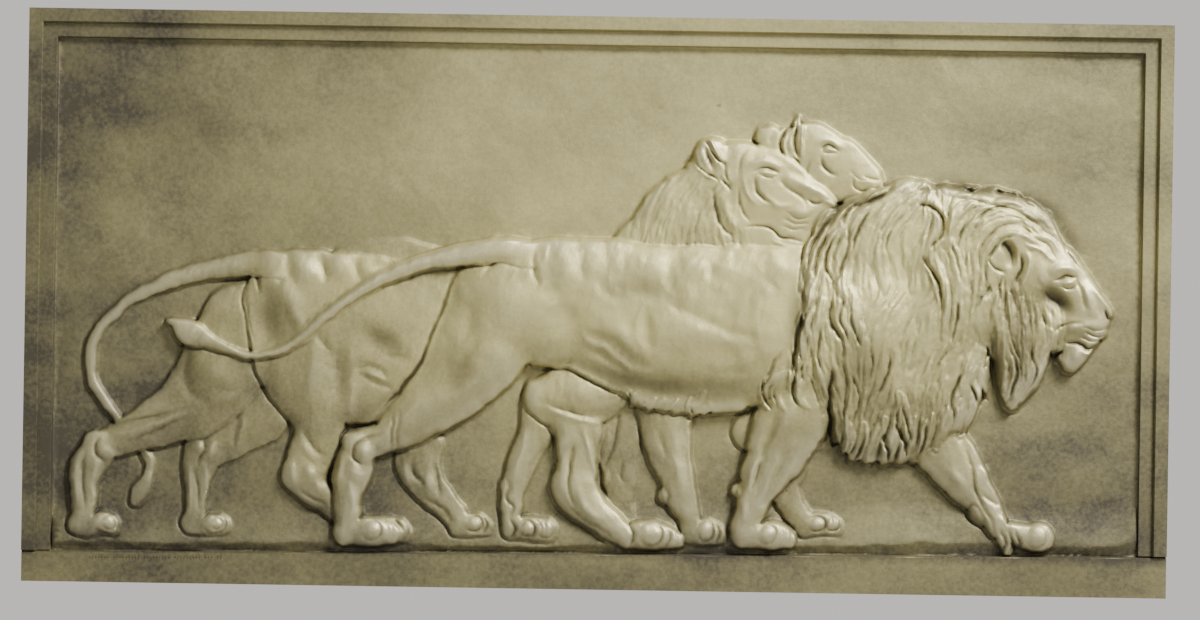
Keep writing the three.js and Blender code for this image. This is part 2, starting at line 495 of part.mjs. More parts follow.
// Locks of hair: half width, height, then points from root to tip. Later ones lie over earlier ones.
// Gaps are the folds between them.
const MANE_LOCKS = [
  [7, 4, [[846, 420], [848, 440], [842, 462]]],
  [6, 4, [[836, 420], [832, 440], [814, 452]]],
  [7, 4, [[862, 425], [860, 446], [850, 466]]],
  [7, 5, [[884, 420], [872, 442], [866, 470]]],
  [7, 4, [[895, 425], [890, 446], [884, 466]]],
  [8, 4, [[912, 420], [906, 442], [902, 463]]],
  [7, 4, [[930, 415], [924, 436], [920, 456]]],
  [7, 4, [[946, 410], [942, 430], [934, 450]]],
  [7, 4, [[962, 400], [960, 418], [952, 438]]],
  [8, 4, [[975, 385], [976, 408], [966, 430]]],
  [8, 3, [[835, 300], [842, 330], [850, 360], [855, 390], [850, 420], [846, 448]]],
  [7, 3, [[898, 395], [905, 422], [904, 446]]],
  [8, 3.5, [[980, 345], [972, 365], [965, 385], [968, 405]]],
  [8, 3.5, [[985, 300], [978, 320], [985, 345], [982, 372], [984, 400]]],
  [7, 4, [[822, 300], [818, 330], [820, 360], [828, 388], [838, 418], [836, 446]]],
  [6, 5, [[812, 285], [806, 318], [802, 350], [796, 378], [799, 404]]],
  [6, 4, [[806, 300], [799, 330], [794, 358], [791, 385], [796, 400]]],
  [6, 4, [[818, 262], [808, 292], [806, 322], [812, 352]]],
  [8, 3.5, [[850, 290], [854, 325], [862, 350], [862, 385], [856, 412]]],
  [8, 4, [[832, 214], [820, 232], [812, 255], [806, 280]]],
  [8, 4, [[848, 209], [836, 226], [826, 246], [820, 272]]],
  [8, 3.5, [[866, 205], [852, 228], [842, 254], [838, 282], [844, 305]]],
  [9, 3, [[884, 194], [868, 208], [856, 230], [848, 256], [846, 285]]],
  [9, 2.5, [[905, 190], [888, 204], [872, 226], [864, 252], [862, 285]]],
  [9, 2.5, [[922, 196], [904, 212], [888, 232], [880, 258], [884, 290]]],
  [9, 3.5, [[928, 198], [936, 212], [938, 228], [930, 244], [915, 262], [912, 290]]],
  [8, 3.5, [[922, 242], [930, 258], [938, 280], [942, 305], [944, 330]]],
  [8, 3, [[946, 240], [954, 255], [960, 275], [962, 300], [956, 325], [952, 345]]],
  [7, 3, [[1066, 262], [1060, 240], [1050, 222], [1036, 208], [1018, 198], [995, 193]]],
  [7, 3, [[1055, 228], [1045, 211], [1020, 200], [990, 197], [965, 205], [950, 222],
    [944, 246]]],
  [7, 3, [[1050, 240], [1042, 222], [1020, 209], [995, 208], [975, 218], [963, 238],
    [960, 265]]],
  [7, 3, [[1045, 247], [1035, 229], [1015, 219], [995, 221], [980, 232], [972, 252],
    [970, 280]]],
  [6, 3, [[1040, 245], [1026, 236], [1008, 232], [994, 238], [985, 252], [984, 275],
    [978, 300]]],
];

const MANE_GAPS = [
  [-6, 3.2, [[920, 204], [932, 208], [941, 219], [941, 234], [931, 248]]],
  [-5, 2.6, [[922, 257], [931, 270], [938, 288], [939, 316]]],
  [-3, 2.2, [[950, 246], [956, 260], [959, 280]]],
  [-4, 2.4, [[956, 303], [955, 320], [951, 340]]],
  [-4, 2.6, [[849, 225], [847, 252], [840, 269], [829, 287]]],
  [-7, 3.2, [[812, 303], [798, 328], [794, 352], [790, 374]]],
  [-4, 2.4, [[829, 303], [829, 322], [840, 344], [842, 358]]],
  [-3, 2.2, [[848, 307], [851, 330], [860, 346]]],
  [-9, 3.4, [[831, 372], [829, 400], [832, 432], [836, 455]]],
  [-8, 3.6, [[976, 316], [986, 332], [994, 347], [992, 369], [998, 402]]],
  [-4, 2.2, [[968, 384], [973, 394], [977, 405]]],
  [-3, 2, [[900, 404], [906, 420], [908, 440]]],
  [-3, 2, [[880, 420], [876, 440], [870, 458]]],
  [-3, 2.4, [[868, 212], [856, 232], [850, 250]]],
  [-2.5, 2, [[905, 212], [892, 228], [886, 246], [890, 266]]],
  [-2.5, 2, [[848, 372], [858, 395], [852, 425]]],
  [-3, 2, [[842, 300], [838, 320], [846, 345]]],
  [-6, 3, [[893, 184], [880, 198], [862, 205], [850, 214]]],
  [-5, 2.6, [[858, 204], [846, 212], [842, 222]]],
  [-5, 2.6, [[838, 212], [824, 226], [812, 244], [805, 264]]],
  [-4, 2.2, [[826, 236], [816, 256], [813, 276]]],
  [-4, 2.2, [[838, 232], [828, 250], [826, 268], [834, 286]]],
  [-6, 3, [[895, 424], [902, 438], [906, 454]]],
  [-5, 2.6, [[882, 436], [888, 448], [888, 462]]],
  [-5, 2.6, [[862, 436], [860, 450], [854, 464]]],
  [-4, 2.4, [[925, 425], [924, 440], [918, 454]]],
  [-4, 2.2, [[820, 330], [816, 352], [822, 374]]],
  [-4, 2.2, [[806, 336], [804, 356], [798, 376]]],
  [-3, 2, [[868, 345], [872, 368], [866, 392]]],
  [-3, 2, [[890, 350], [886, 374], [876, 396]]],
  [-3, 2, [[948, 350], [934, 368], [926, 390]]],
  [-4, 2.4, [[962, 372], [952, 392], [950, 412]]],
  [-3, 2, [[975, 212], [962, 228], [957, 246]]],
  [-3, 2, [[1010, 205], [990, 209], [974, 222]]],
  [-3.5, 2.2, [[1052, 212], [1036, 202], [1014, 196], [994, 198]]],
];

const BEARD_LOCKS = [
  [7, 3, [[1048, 318], [1050, 340], [1044, 366], [1032, 386], [1020, 402]]],
  [6, 3, [[1036, 306], [1040, 330], [1038, 356], [1028, 382], [1016, 404]]],
  [6, 3.5, [[1020, 300], [1024, 326], [1024, 352], [1024, 378], [1012, 404]]],
  [6, 3.5, [[1008, 296], [1010, 322], [1010, 350], [1014, 376], [1008, 402]]],
  [5, 3, [[998, 290], [996, 310], [1000, 335], [1000, 362], [1005, 390]]],
];

const BEARD_GAPS = [
  [-4, 2.2, [[1009, 345], [1015, 371], [1007, 404]]],
  [-3, 2, [[1028, 349], [1034, 373], [1020, 406]]],
  [-2.5, 1.8, [[1005, 315], [1012, 340], [1018, 360]]],
];

// The shaggy fringe under the belly and the tuft behind the elbow
const BELLY_LOCKS = [0, 1, 2, 3, 4, 5, 6, 7, 8, 9, 10, 11, 12, 13, 14, 15, 16].map((k) => {
  const x = 620 + 5.4 * k;
  const drop = 10 * Math.sin(0.2 * k) - 5;
  const tip = [x + 3 * Math.sin(2 * k), 413 + drop + 3 * Math.sin(7 * k)];
  const points = [[x + 5, 396 + drop], [x + 2 * Math.sin(3 * k), 404 + drop], tip];
  return [2.6 + 0.8 * Math.sin(5 * k), 2.2, points];
});
const BELLY_GAPS = [
  [-4, 1.8, [[637, 402], [642, 409], [648, 410]]],
  [-4, 1.8, [[658, 410], [666, 417], [672, 415]]],
  [-3, 1.6, [[690, 408], [694, 416]]],
  [-3, 1.6, [[628, 392], [632, 401]]],
];
const ELBOW_LOCKS = [
  [5, 3.6, [[774, 376], [762, 384], [758, 396], [764, 408]]],
  [4.5, 3, [[784, 377], [773, 388], [772, 400], [778, 410]]],
  [4, 3.4, [[796, 378], [786, 386], [784, 398], [789, 408]]],
  [4, 3, [[806, 376], [798, 388], [798, 399], [803, 407]]],
];
const ELBOW_GAPS = [
  [-4, 1.8, [[768, 384], [764, 395], [769, 407]]],
  [-4, 1.8, [[786, 380], [780, 392], [783, 404]]],
];

// Layers from the ground outwards. step is how far a layer's edge stands over what lies behind it.
// A fade runs from a point where the limb has sunk into the body to a point where it stands free.
const LAYERS = [
  { step: 1.5, lift: 1, limbs: FAR_LIONESS_BACK },
  { step: 2.5, lift: 2, limbs: FAR_LIONESS_HEAD, strokes: FAR_LIONESS_FACE },
  { step: 1, lift: 0.5, limbs: FAR_LIONESS_FORELEG, strokes: FAR_LIONESS_FORELEG_MUSCLES },
  { step: 1.5, lift: 0.5, limbs: FAR_LIONESS_FAR_FORELEG, strokes: FAR_LIONESS_FORE_TOES },
  {
    step: 2,
    lift: 1,
    limbs: FAR_LIONESS_NEAR_HIND_LEG,
    strokes: [...FAR_LIONESS_NEAR_LEG_MUSCLES, ...FAR_LIONESS_NEAR_HIND_TOES],
  },
  {
    step: 2,
    lift: 1,
    limbs: FAR_LIONESS_FAR_HIND_LEG,
    strokes: [...FAR_LIONESS_FAR_LEG_MUSCLES, ...FAR_LIONESS_FAR_HIND_TOES],
  },
  { step: 1.5, lift: 1, limbs: NEAR_LIONESS_TAIL },
  {
    step: 2,
    lift: 2,
    limbs: NEAR_LIONESS_FAR_HIND_LEG,
    strokes: [...NEAR_LIONESS_FAR_LEG_MUSCLES, ...NEAR_LIONESS_FAR_HIND_TOES],
  },
  {
    step: 2,
    lift: 2,
    limbs: NEAR_LIONESS_FORELEG,
    strokes: [...NEAR_LIONESS_FORELEG_MUSCLES, ...NEAR_LIONESS_FORE_TOES],
  },
  {
    step: 2,
    lift: 2,
    limbs: NEAR_LIONESS_FAR_FORELEG,
    strokes: [...NEAR_LIONESS_FAR_FORELEG_MUSCLES, ...NEAR_LIONESS_FAR_FORE_TOES],
  },
  { step: 3, lift: 3, limbs: NEAR_LIONESS_HEAD, strokes: NEAR_LIONESS_FACE },
  {
    step: 3,
    lift: 3,
    limbs: NEAR_LIONESS_BODY,
    strokes: [...NEAR_LIONESS_MUSCLES, ...NEAR_LIONESS_HIND_TOES],
  },
  {
    step: 1,
    lift: 1,
    limbs: NEAR_LIONESS_TAIL_ROOT,
    fades: [[[296, 266], [270, 263]], [[224, 268], [240, 264]]],
  },
  {
    step: 3,
    lift: 4,
    limbs: LION_FAR_HIND_LEG,
    strokes: [...LION_FAR_LEG_MUSCLES, ...LION_FAR_HIND_TOES],
  },
  {
    step: 3,
    lift: 4,
    limbs: LION_FAR_FORELEG,
    strokes: [...LION_FAR_FORELEG_MUSCLES, ...LION_FAR_FORE_TOES],
  },
  {
    step: 4,
    lift: 5,
    limbs: LION_BODY,
    locks: BELLY_LOCKS,
    strokes: [...LION_MUSCLES, ...LION_HIND_TOES, ...BELLY_GAPS],
  },
  { step: 1, lift: 5, limbs: LION_TAIL, fades: [[[556, 257], [505, 251]]] },
  {
    step: 2,
    lift: 6,
    limbs: LION_NEAR_FORELEG,
    locks: ELBOW_LOCKS,
    strokes: [...LION_FORELEG_MUSCLES, ...LION_FORE_TOES, ...ELBOW_GAPS],
  },
  { step: 3, lift: 7, limbs: LION_MANE, locks: MANE_LOCKS, strokes: MANE_GAPS },
  { step: 2, lift: 8, limbs: LION_HEAD, locks: BEARD_LOCKS, strokes: [...LION_FACE, ...BEARD_GAPS] },
];
const BLEND_DEPTH = 4;             // depth over which two masses run into each other
const UNDERLAY_BLUR = 6;           // how widely a layer's base evens out what lies under it
const LOCK_OVERLAP = 0.6;          // share of a lock's height that sinks into the locks under it

// The carving is worked out on a grid that covers the ground and the part of it under the frame.
const GRID_LENGTH = PANEL_LENGTH + 2 * CORNER_LAP;
const GRID_HEIGHT = PANEL_HEIGHT + 2 * CORNER_LAP;
const COLUMNS = Math.round(GRID_LENGTH / CARVING_PITCH) + 1;
const ROWS = Math.round(GRID_HEIGHT / CARVING_PITCH) + 1;
const PITCH_X = GRID_LENGTH / (COLUMNS - 1);
const PITCH_Z = GRID_HEIGHT / (ROWS - 1);
const GRID_LEFT = PANEL_LEFT - CORNER_LAP;
const GRID_FOOT = PANEL_FOOT - CORNER_LAP;

// A point of the drawing, as a place on the front of the plaque in millimetres
function place(x, y) {
  const right = x - DRAWING_CENTRE[0];
  const down = y - DRAWING_CENTRE[1];
  const along = right * Math.cos(DRAWING_TURN) + down * Math.sin(DRAWING_TURN);
  const below = down * Math.cos(DRAWING_TURN) - right * Math.sin(DRAWING_TURN);
  return [
    PANEL_LEFT + MARGIN_BEHIND + (along - DRAWING_LEFT) * UNIT,
    PANEL_FOOT + MARGIN_BELOW + (DRAWING_FOOT - below) * UNIT,
  ];
}

// Stations in millimetres on a smooth path through the given ones, a short step apart
function smoothPath(stations) {
  const placed = stations.map(([x, y, halfWidth, crown, lift = 0]) => (
    [...place(x, y), halfWidth * UNIT, crown * DEPTH, lift * DEPTH]
  ));
  const path = [];
  placed.slice(0, -1).forEach((start, i) => {
    const end = placed[i + 1];
    const before = placed[i - 1] ?? start.map((value, n) => 2 * value - end[n]);
    const after = placed[i + 2] ?? end.map((value, n) => 2 * value - start[n]);
    const stride = THREE.MathUtils.clamp(Math.min(start[2], end[2]) / 4, CARVING_PITCH, 3 * CARVING_PITCH);
    const count = Math.ceil(Math.hypot(end[0] - start[0], end[1] - start[1]) / stride) + 1;
    for (let k = 0; k < count; k += 1) {
      const t = k / count;
      path.push(start.map((value, n) => 0.5 * (
        2 * value
        + (end[n] - before[n]) * t
        + (2 * before[n] - 5 * value + 4 * end[n] - after[n]) * t * t
        + (3 * value - before[n] - 3 * end[n] + after[n]) * t * t * t
      )));
    }
  });
  path.push(placed[placed.length - 1]);
  return path;
}

// Calls visit(index, squared distance) for the grid points within reach of a place
function around(x, z, reach, visit) {
  const firstColumn = Math.max(0, Math.ceil((x - reach - GRID_LEFT) / PITCH_X));
  const lastColumn = Math.min(COLUMNS - 1, Math.floor((x + reach - GRID_LEFT) / PITCH_X));
  const firstRow = Math.max(0, Math.ceil((z - reach - GRID_FOOT) / PITCH_Z));
  const lastRow = Math.min(ROWS - 1, Math.floor((z + reach - GRID_FOOT) / PITCH_Z));
  for (let row = firstRow; row <= lastRow; row += 1) {
    const dz = GRID_FOOT + row * PITCH_Z - z;
    for (let column = firstColumn; column <= lastColumn; column += 1) {
      const dx = GRID_LEFT + column * PITCH_X - x;
      const squared = dx * dx + dz * dz;
      if (squared < reach * reach) visit(row * COLUMNS + column, squared);
    }
  }
}

function smoothMaximum(a, b, depth) {
  const overlap = Math.max(depth - Math.abs(a - b), 0);
  return Math.max(a, b) + overlap * overlap / (4 * depth);
}

// Evens a field out with three running means along its rows and three along its columns
function blurred(field, reach) {
  const result = Float32Array.from(field);
  const sweep = (start, stride, count, radius) => {
    const line = new Float32Array(count);
    for (let pass = 0; pass < 3; pass += 1) {
      for (let i = 0; i < count; i += 1) line[i] = result[start + i * stride];
      const at = (i) => line[THREE.MathUtils.clamp(i, 0, count - 1)];
      let sum = 0;
      for (let i = -radius; i <= radius; i += 1) sum += at(i);
      for (let i = 0; i < count; i += 1) {
        result[start + i * stride] = sum / (2 * radius + 1);
        sum += at(i + radius + 1) - at(i - radius);
      }
    }
  };
  const radius = Math.max(1, Math.round(reach / CARVING_PITCH));
  for (let row = 0; row < ROWS; row += 1) sweep(row * COLUMNS, 1, COLUMNS, radius);
  for (let column = 0; column < COLUMNS; column += 1) sweep(column, COLUMNS, ROWS, radius);
  return result;
}

// Domes strung along the paths of a layer's limbs: their height, and how far inside the outline a point is
function massOf(limbs, lift) {
  const height = new Float32Array(COLUMNS * ROWS).fill(-Infinity);
  const inside = new Float32Array(COLUMNS * ROWS).fill(-Infinity);
  for (const stations of Object.values(limbs)) {
    const limb = new Map();
    for (const [x, z, halfWidth, crown, ownLift] of smoothPath(stations)) {
      around(x, z, halfWidth, (index, squared) => {
        const dome = (lift * DEPTH) + ownLift + crown * Math.sqrt(1 - squared / (halfWidth * halfWidth));
        limb.set(index, Math.max(limb.get(index) ?? -Infinity, dome));
        inside[index] = Math.max(inside[index], halfWidth - Math.sqrt(squared));
      });
    }
    for (const [index, dome] of limb) {
      const blended = smoothMaximum(height[index], dome, BLEND_DEPTH * DEPTH);
      height[index] = height[index] === -Infinity ? dome : blended;
    }
  }
  return { height, inside };
}

// Adds the muscles and folds, each a stroke that fades out at both ends. Where strokes of one kind
// cross, the strongest holds.
function addStrokes(relief, strokes, mass) {
  const raised = new Map();
  const sunk = new Map();
  for (const [rise, halfWidth, points] of strokes) {
    const field = rise > 0 ? raised : sunk;
    const path = smoothPath(points.map(([x, y]) => [x, y, halfWidth, rise]));
    path.forEach(([x, z, width, height], step) => {
      const fade = Math.sin(Math.PI * (step + 1) / (path.length + 1)) ** 0.5;
      around(x, z, 2 * width, (index, squared) => {
        const value = height * fade * Math.exp(-2 * squared / (width * width));
        if (Math.abs(value) > Math.abs(field.get(index) ?? 0)) field.set(index, value);
      });
    });
  }
  for (const field of [raised, sunk]) {
    for (const [index, value] of field) {
      relief[index] += value * THREE.MathUtils.smoothstep(mass.inside[index], 0, EDGE_SLOPE);
    }
  }
}

// Lays the locks of hair over a mass: thin at the root, full in the middle, pointed at the tip
function addLocks(relief, locks, bed) {
  for (const [halfWidth, rise, points] of locks) {
    const lock = new Map();
    const path = smoothPath(points.map(([x, y]) => [x, y, halfWidth, rise]));
    path.forEach(([x, z, width, height], step) => {
      const t = step / (path.length - 1);
      const taper = Math.sqrt(Math.sin(Math.PI * (0.12 + 0.83 * t)));
      around(x, z, width * taper, (index, squared) => {
        const roll = height * taper * Math.sqrt(1 - squared / ((width * taper) ** 2));
        lock.set(index, Math.max(lock.get(index) ?? 0, roll));
      });
    });
    for (const [index, roll] of lock) {
      const base = Math.max(bed[index], relief[index] - LOCK_OVERLAP * rise * DEPTH);
      relief[index] = Math.max(relief[index], base + roll);
    }
  }
}

// How far a layer stands free at a grid point: 0 where a fade starts, 1 past its end
function fadingAt(index, fades) {
  const x = GRID_LEFT + (index % COLUMNS) * PITCH_X;
  const z = GRID_FOOT + Math.floor(index / COLUMNS) * PITCH_Z;
  return fades.reduce((fading, [start, end]) => {
    const [x0, z0] = place(...start);
    const [x1, z1] = place(...end);
    const passed = (x - x0) * (x1 - x0) + (z - z0) * (z1 - z0);
    return fading * THREE.MathUtils.smoothstep(passed / ((x1 - x0) ** 2 + (z1 - z0) ** 2), 0, 1);
  }, 1);
}

// Height of the rail's top edge, which climbs to the right
function railTop(x) {
  return PANEL_FOOT + RAIL_CLIMB * THREE.MathUtils.clamp((x - PANEL_LEFT) / PANEL_LENGTH, 0, 1);
}

// The ground, which swells along its foot to a strip of earth that falls back to the rail
function groundRelief() {
  const relief = new Float32Array(COLUMNS * ROWS);
  const crest = BAND_RISE - TERRACE_DROP;
  for (let index = 0; index < relief.length; index += 1) {
    const x = GRID_LEFT + (index % COLUMNS) * PITCH_X;
    const z = GRID_FOOT + Math.floor(index / COLUMNS) * PITCH_Z;
    const overRail = z - railTop(x);
    const swell = 1 - THREE.MathUtils.smoothstep(overRail, TERRACE_HEIGHT, TERRACE_HEIGHT + TERRACE_SWELL);
    const slope = THREE.MathUtils.smoothstep(overRail, 0, TERRACE_HEIGHT);
    relief[index] = crest * swell * (0.25 + 0.75 * slope);
  }
  return relief;
}

// The whole front, layer over layer
function carveFront() {
  const relief = groundRelief();
  for (const { limbs, lift, step, locks = [], strokes = [], fades = [] } of LAYERS) {
    const mass = massOf(limbs, lift);
    const underlay = blurred(relief, UNDERLAY_BLUR * UNIT);
    const under = Float32Array.from(relief);
    for (let index = 0; index < relief.length; index += 1) {
      if (mass.inside[index] > 0) {
        relief[index] = smoothMaximum(mass.height[index], underlay[index] + step * DEPTH, BLEND_DEPTH * DEPTH);
      }
    }
    addLocks(relief, locks, Float32Array.from(relief));
    addStrokes(relief, strokes, mass);
    for (let index = 0; index < relief.length; index += 1) {
      if (mass.inside[index] > 0) {
        const edge = THREE.MathUtils.smoothstep(mass.inside[index], 0, EDGE_SLOPE);
        relief[index] = under[index] + (relief[index] - under[index]) * edge * fadingAt(index, fades);
      }
    }
  }
  return relief;
}

// A net of triangles over the grid. Half edge e runs from corners[e] to the next corner of its triangle.
class Net {
  constructor() {
    this.points = [];
    this.corners = [];
    this.twins = [];
    this.worst = [];
    const last = [COLUMNS - 1, ROWS - 1];
    const [a, b, c, d] = [[0, 0], [last[0], 0], last, [0, last[1]]].map((point) => this.points.push(point) - 1);
    const first = this.setTriangle([a, b, c], [-1, -1, -1]);
    this.setTriangle([a, c, d], [first + 2, -1, -1]);
  }

  // Writes a triangle and joins it to its neighbours, in place of an old one or as a new one
  setTriangle(corners, twins, at = this.corners.length) {
    corners.forEach((corner, side) => {
      this.corners[at + side] = corner;
      this.twins[at + side] = twins[side];
      if (twins[side] >= 0) this.twins[twins[side]] = at + side;
    });
    this.worst[at / 3] = null;
    return at;
  }

  turn(a, b, c) {
    const [pa, pb, pc] = [this.points[a], this.points[b], this.points[c]];
    return (pb[0] - pa[0]) * (pc[1] - pa[1]) - (pb[1] - pa[1]) * (pc[0] - pa[0]);
  }

  // Whether point d lies in the circle through a, b and c
  inCircle(a, b, c, d) {
    const [ax, ay, bx, by, cx, cy] = [a, b, c].flatMap((corner) => (
      [this.points[corner][0] - this.points[d][0], this.points[corner][1] - this.points[d][1]]
    ));
    const [aa, bb, cc] = [ax * ax + ay * ay, bx * bx + by * by, cx * cx + cy * cy];
    return ax * (by * cc - bb * cy) - ay * (bx * cc - bb * cx) + aa * (bx * cy - by * cx) > 0;
  }

  // The six half edges of the two triangles on an edge
  hinge(edge) {
    const twin = this.twins[edge];
    const [base, twinBase] = [edge - edge % 3, twin - twin % 3];
    return {
      base,
      twinBase,
      left: base + (edge + 1) % 3,
      right: base + (edge + 2) % 3,
      twinLeft: twinBase + (twin + 2) % 3,
      twinRight: twinBase + (twin + 1) % 3,
    };
  }

  // Swaps the edge's diagonal where the far corner lies too near, and then looks at the edges behind it
  settle(edge) {
    if (this.twins[edge] < 0) return;
    const { base, twinBase, left, right, twinLeft, twinRight } = this.hinge(edge);
    const [near, from, to, far] = [right, edge, left, twinLeft].map((side) => this.corners[side]);
    if (!this.inCircle(near, from, to, far)) return;
    const [behindLeft, behindRight] = [this.twins[left], this.twins[right]];
    const [beyondLeft, beyondRight] = [this.twins[twinLeft], this.twins[twinRight]];
    const first = this.setTriangle([near, far, to], [-1, beyondLeft, behindLeft], base);
    const second = this.setTriangle([far, near, from], [first, behindRight, beyondRight], twinBase);
    this.settle(first + 1);
    this.settle(second + 2);
  }

  // Puts a point on an edge and halves the triangles beside it
  splitEdge(point, edge) {
    const twin = this.twins[edge];
    const { base, twinBase, left, right, twinLeft, twinRight } = this.hinge(edge);
    const [near, from, to] = [right, edge, left].map((side) => this.corners[side]);
    const [behindLeft, behindRight] = [this.twins[left], this.twins[right]];
    if (twin < 0) {
      const first = this.setTriangle([point, near, from], [-1, behindRight, -1], base);
      const second = this.setTriangle([near, point, to], [first, -1, behindLeft]);
      this.settle(first + 1);
      this.settle(second + 2);
      return;
    }
    const far = this.corners[twinLeft];
    const [beyondLeft, beyondRight] = [this.twins[twinLeft], this.twins[twinRight]];
    const first = this.setTriangle([near, from, point], [behindRight, -1, -1], base);
    const second = this.setTriangle([from, far, point], [beyondRight, -1, first + 1], twinBase);
    const third = this.setTriangle([far, to, point], [beyondLeft, -1, second + 1]);
    const fourth = this.setTriangle([to, near, point], [behindLeft, first + 2, third + 1]);
    [first, second, third, fourth].forEach((side) => this.settle(side));
  }

  // Puts a point in a triangle
  insert(triangle, gridPoint) {
    const point = this.points.push(gridPoint) - 1;
    const edges = [3 * triangle, 3 * triangle + 1, 3 * triangle + 2];
    const [a, b, c] = edges.map((edge) => this.corners[edge]);
    const [onFirst, onSecond, onThird] = [this.turn(a, b, point), this.turn(b, c, point), this.turn(c, a, point)];
    if (onFirst === 0) return this.splitEdge(point, edges[0]);
    if (onSecond === 0) return this.splitEdge(point, edges[1]);
    if (onThird === 0) return this.splitEdge(point, edges[2]);
    const twins = edges.map((edge) => this.twins[edge]);
    const first = this.setTriangle([a, b, point], [twins[0], -1, -1], edges[0]);
    const second = this.setTriangle([b, c, point], [twins[1], -1, first + 1]);
    const third = this.setTriangle([c, a, point], [twins[2], first + 2, second + 1]);
    return [first, second, third].forEach((side) => this.settle(side));
  }

  // The grid point under a triangle that is furthest from it in height
  findWorst(triangle, relief) {
    const ids = [0, 1, 2].map((side) => this.corners[3 * triangle + side]);
    const [[ax, ay], [bx, by], [cx, cy]] = ids.map((id) => this.points[id]);
    const [ha, hb, hc] = ids.map((id) => relief[this.points[id][1] * COLUMNS + this.points[id][0]]);
    const area = this.turn(...ids);
    let [error, worst] = [0, null];
    for (let y = Math.min(ay, by, cy); y <= Math.max(ay, by, cy); y += 1) {
      for (let x = Math.min(ax, bx, cx); x <= Math.max(ax, bx, cx); x += 1) {
        const wa = (bx - x) * (cy - y) - (by - y) * (cx - x);
        const wb = (cx - x) * (ay - y) - (cy - y) * (ax - x);
        const wc = area - wa - wb;
        if (wa < 0 || wb < 0 || wc < 0) continue;
        const off = Math.abs((wa * ha + wb * hb + wc * hc) / area - relief[y * COLUMNS + x]);
        if (off > error) [error, worst] = [off, [x, y]];
      }
    }
    return { error, worst };
  }

  // Adds the worst points, in rounds of falling tolerance, until the budget of triangles is spent
  refine(relief, budget) {
    let tolerance = RELIEF_HEIGHT / 2;
    while (this.corners.length / 3 < budget) {
      this.worst.forEach((known, triangle) => {
        if (!known) this.worst[triangle] = this.findWorst(triangle, relief);
      });
      const coarse = this.worst.map((found, triangle) => ({ ...found, triangle }))
        .filter((found) => found.error > tolerance)
        .sort((one, other) => other.error - one.error);
      if (coarse.length === 0) tolerance *= 0.85;
      for (const { triangle, worst } of coarse) {
        const unchanged = this.worst[triangle]?.worst === worst;
        if (unchanged && this.corners.length / 3 < budget) this.insert(triangle, worst);
      }
    }
  }
}

// Closes the carved front with straight sides and a flat back
function carvedSlab() {
  const relief = carveFront();
  const net = new Net();
  net.refine(relief, FACE_BUDGET);
  const positions = [];
  const faces = [];
  for (const [column, row] of net.points) {
    const front = SLAB_THICKNESS + relief[row * COLUMNS + column];
    positions.push(GRID_LEFT + column * PITCH_X, -front, GRID_FOOT + row * PITCH_Z);
  }
  for (let edge = 0; edge < net.corners.length; edge += 3) {
    faces.push(net.corners[edge], net.corners[edge + 1], net.corners[edge + 2]);
  }
  const back = positions.length / 3;
  const backCorners = [[0, 0], [COLUMNS - 1, 0], [COLUMNS - 1, ROWS - 1], [0, ROWS - 1]];
  for (const [column, row] of backCorners) {
    positions.push(GRID_LEFT + column * PITCH_X, 0, GRID_FOOT + row * PITCH_Z);
  }
  faces.push(back, back + 2, back + 1, back, back + 3, back + 2);
  const sides = [
    { onSide: ([, row]) => row === 0, along: ([column]) => column, from: 0, to: 1 },
    { onSide: ([column]) => column === COLUMNS - 1, along: ([, row]) => row, from: 1, to: 2 },
    { onSide: ([, row]) => row === ROWS - 1, along: ([column]) => -column, from: 2, to: 3 },
    { onSide: ([column]) => column === 0, along: ([, row]) => -row, from: 3, to: 0 },
  ];
  for (const { onSide, along, from, to } of sides) {
    const chain = net.points.map((point, id) => ({ id, point })).filter(({ point }) => onSide(point));
    chain.sort((one, other) => along(one.point) - along(other.point));
    chain.slice(0, -1).forEach(({ id }, i) => faces.push(back + from, chain[i + 1].id, id));
    faces.push(back + from, back + to, chain[chain.length - 1].id);
  }
  const geometry = new THREE.BufferGeometry();
  geometry.setAttribute('position', new THREE.Float32BufferAttribute(positions, 3));
  geometry.setIndex(faces);
  return geometry;
}

// A block of the frame that reaches from the back to its face, given by its left, right, foot and top
function frameBlock(left, right, foot, top, thickness) {
  const geometry = new THREE.BoxGeometry(right - left, thickness, top - foot);
  geometry.translate((left + right) / 2, -thickness / 2, (foot + top) / 2);
  return geometry;
}

// The rail along the foot, from the back to its face
function railBlock(thickness) {
  const outline = new THREE.Shape();
  outline.moveTo(-LENGTH / 2, -HEIGHT / 2);
  outline.lineTo(LENGTH / 2, -HEIGHT / 2);
  outline.lineTo(LENGTH / 2, railTop(LENGTH / 2));
  outline.lineTo(PANEL_LEFT + PANEL_LENGTH, railTop(LENGTH / 2));
  outline.lineTo(PANEL_LEFT, railTop(PANEL_LEFT));
  outline.lineTo(-LENGTH / 2, railTop(PANEL_LEFT));
  const geometry = new THREE.ExtrudeGeometry(outline, { depth: thickness, bevelEnabled: false });
  return geometry.rotateX(Math.PI / 2);
}

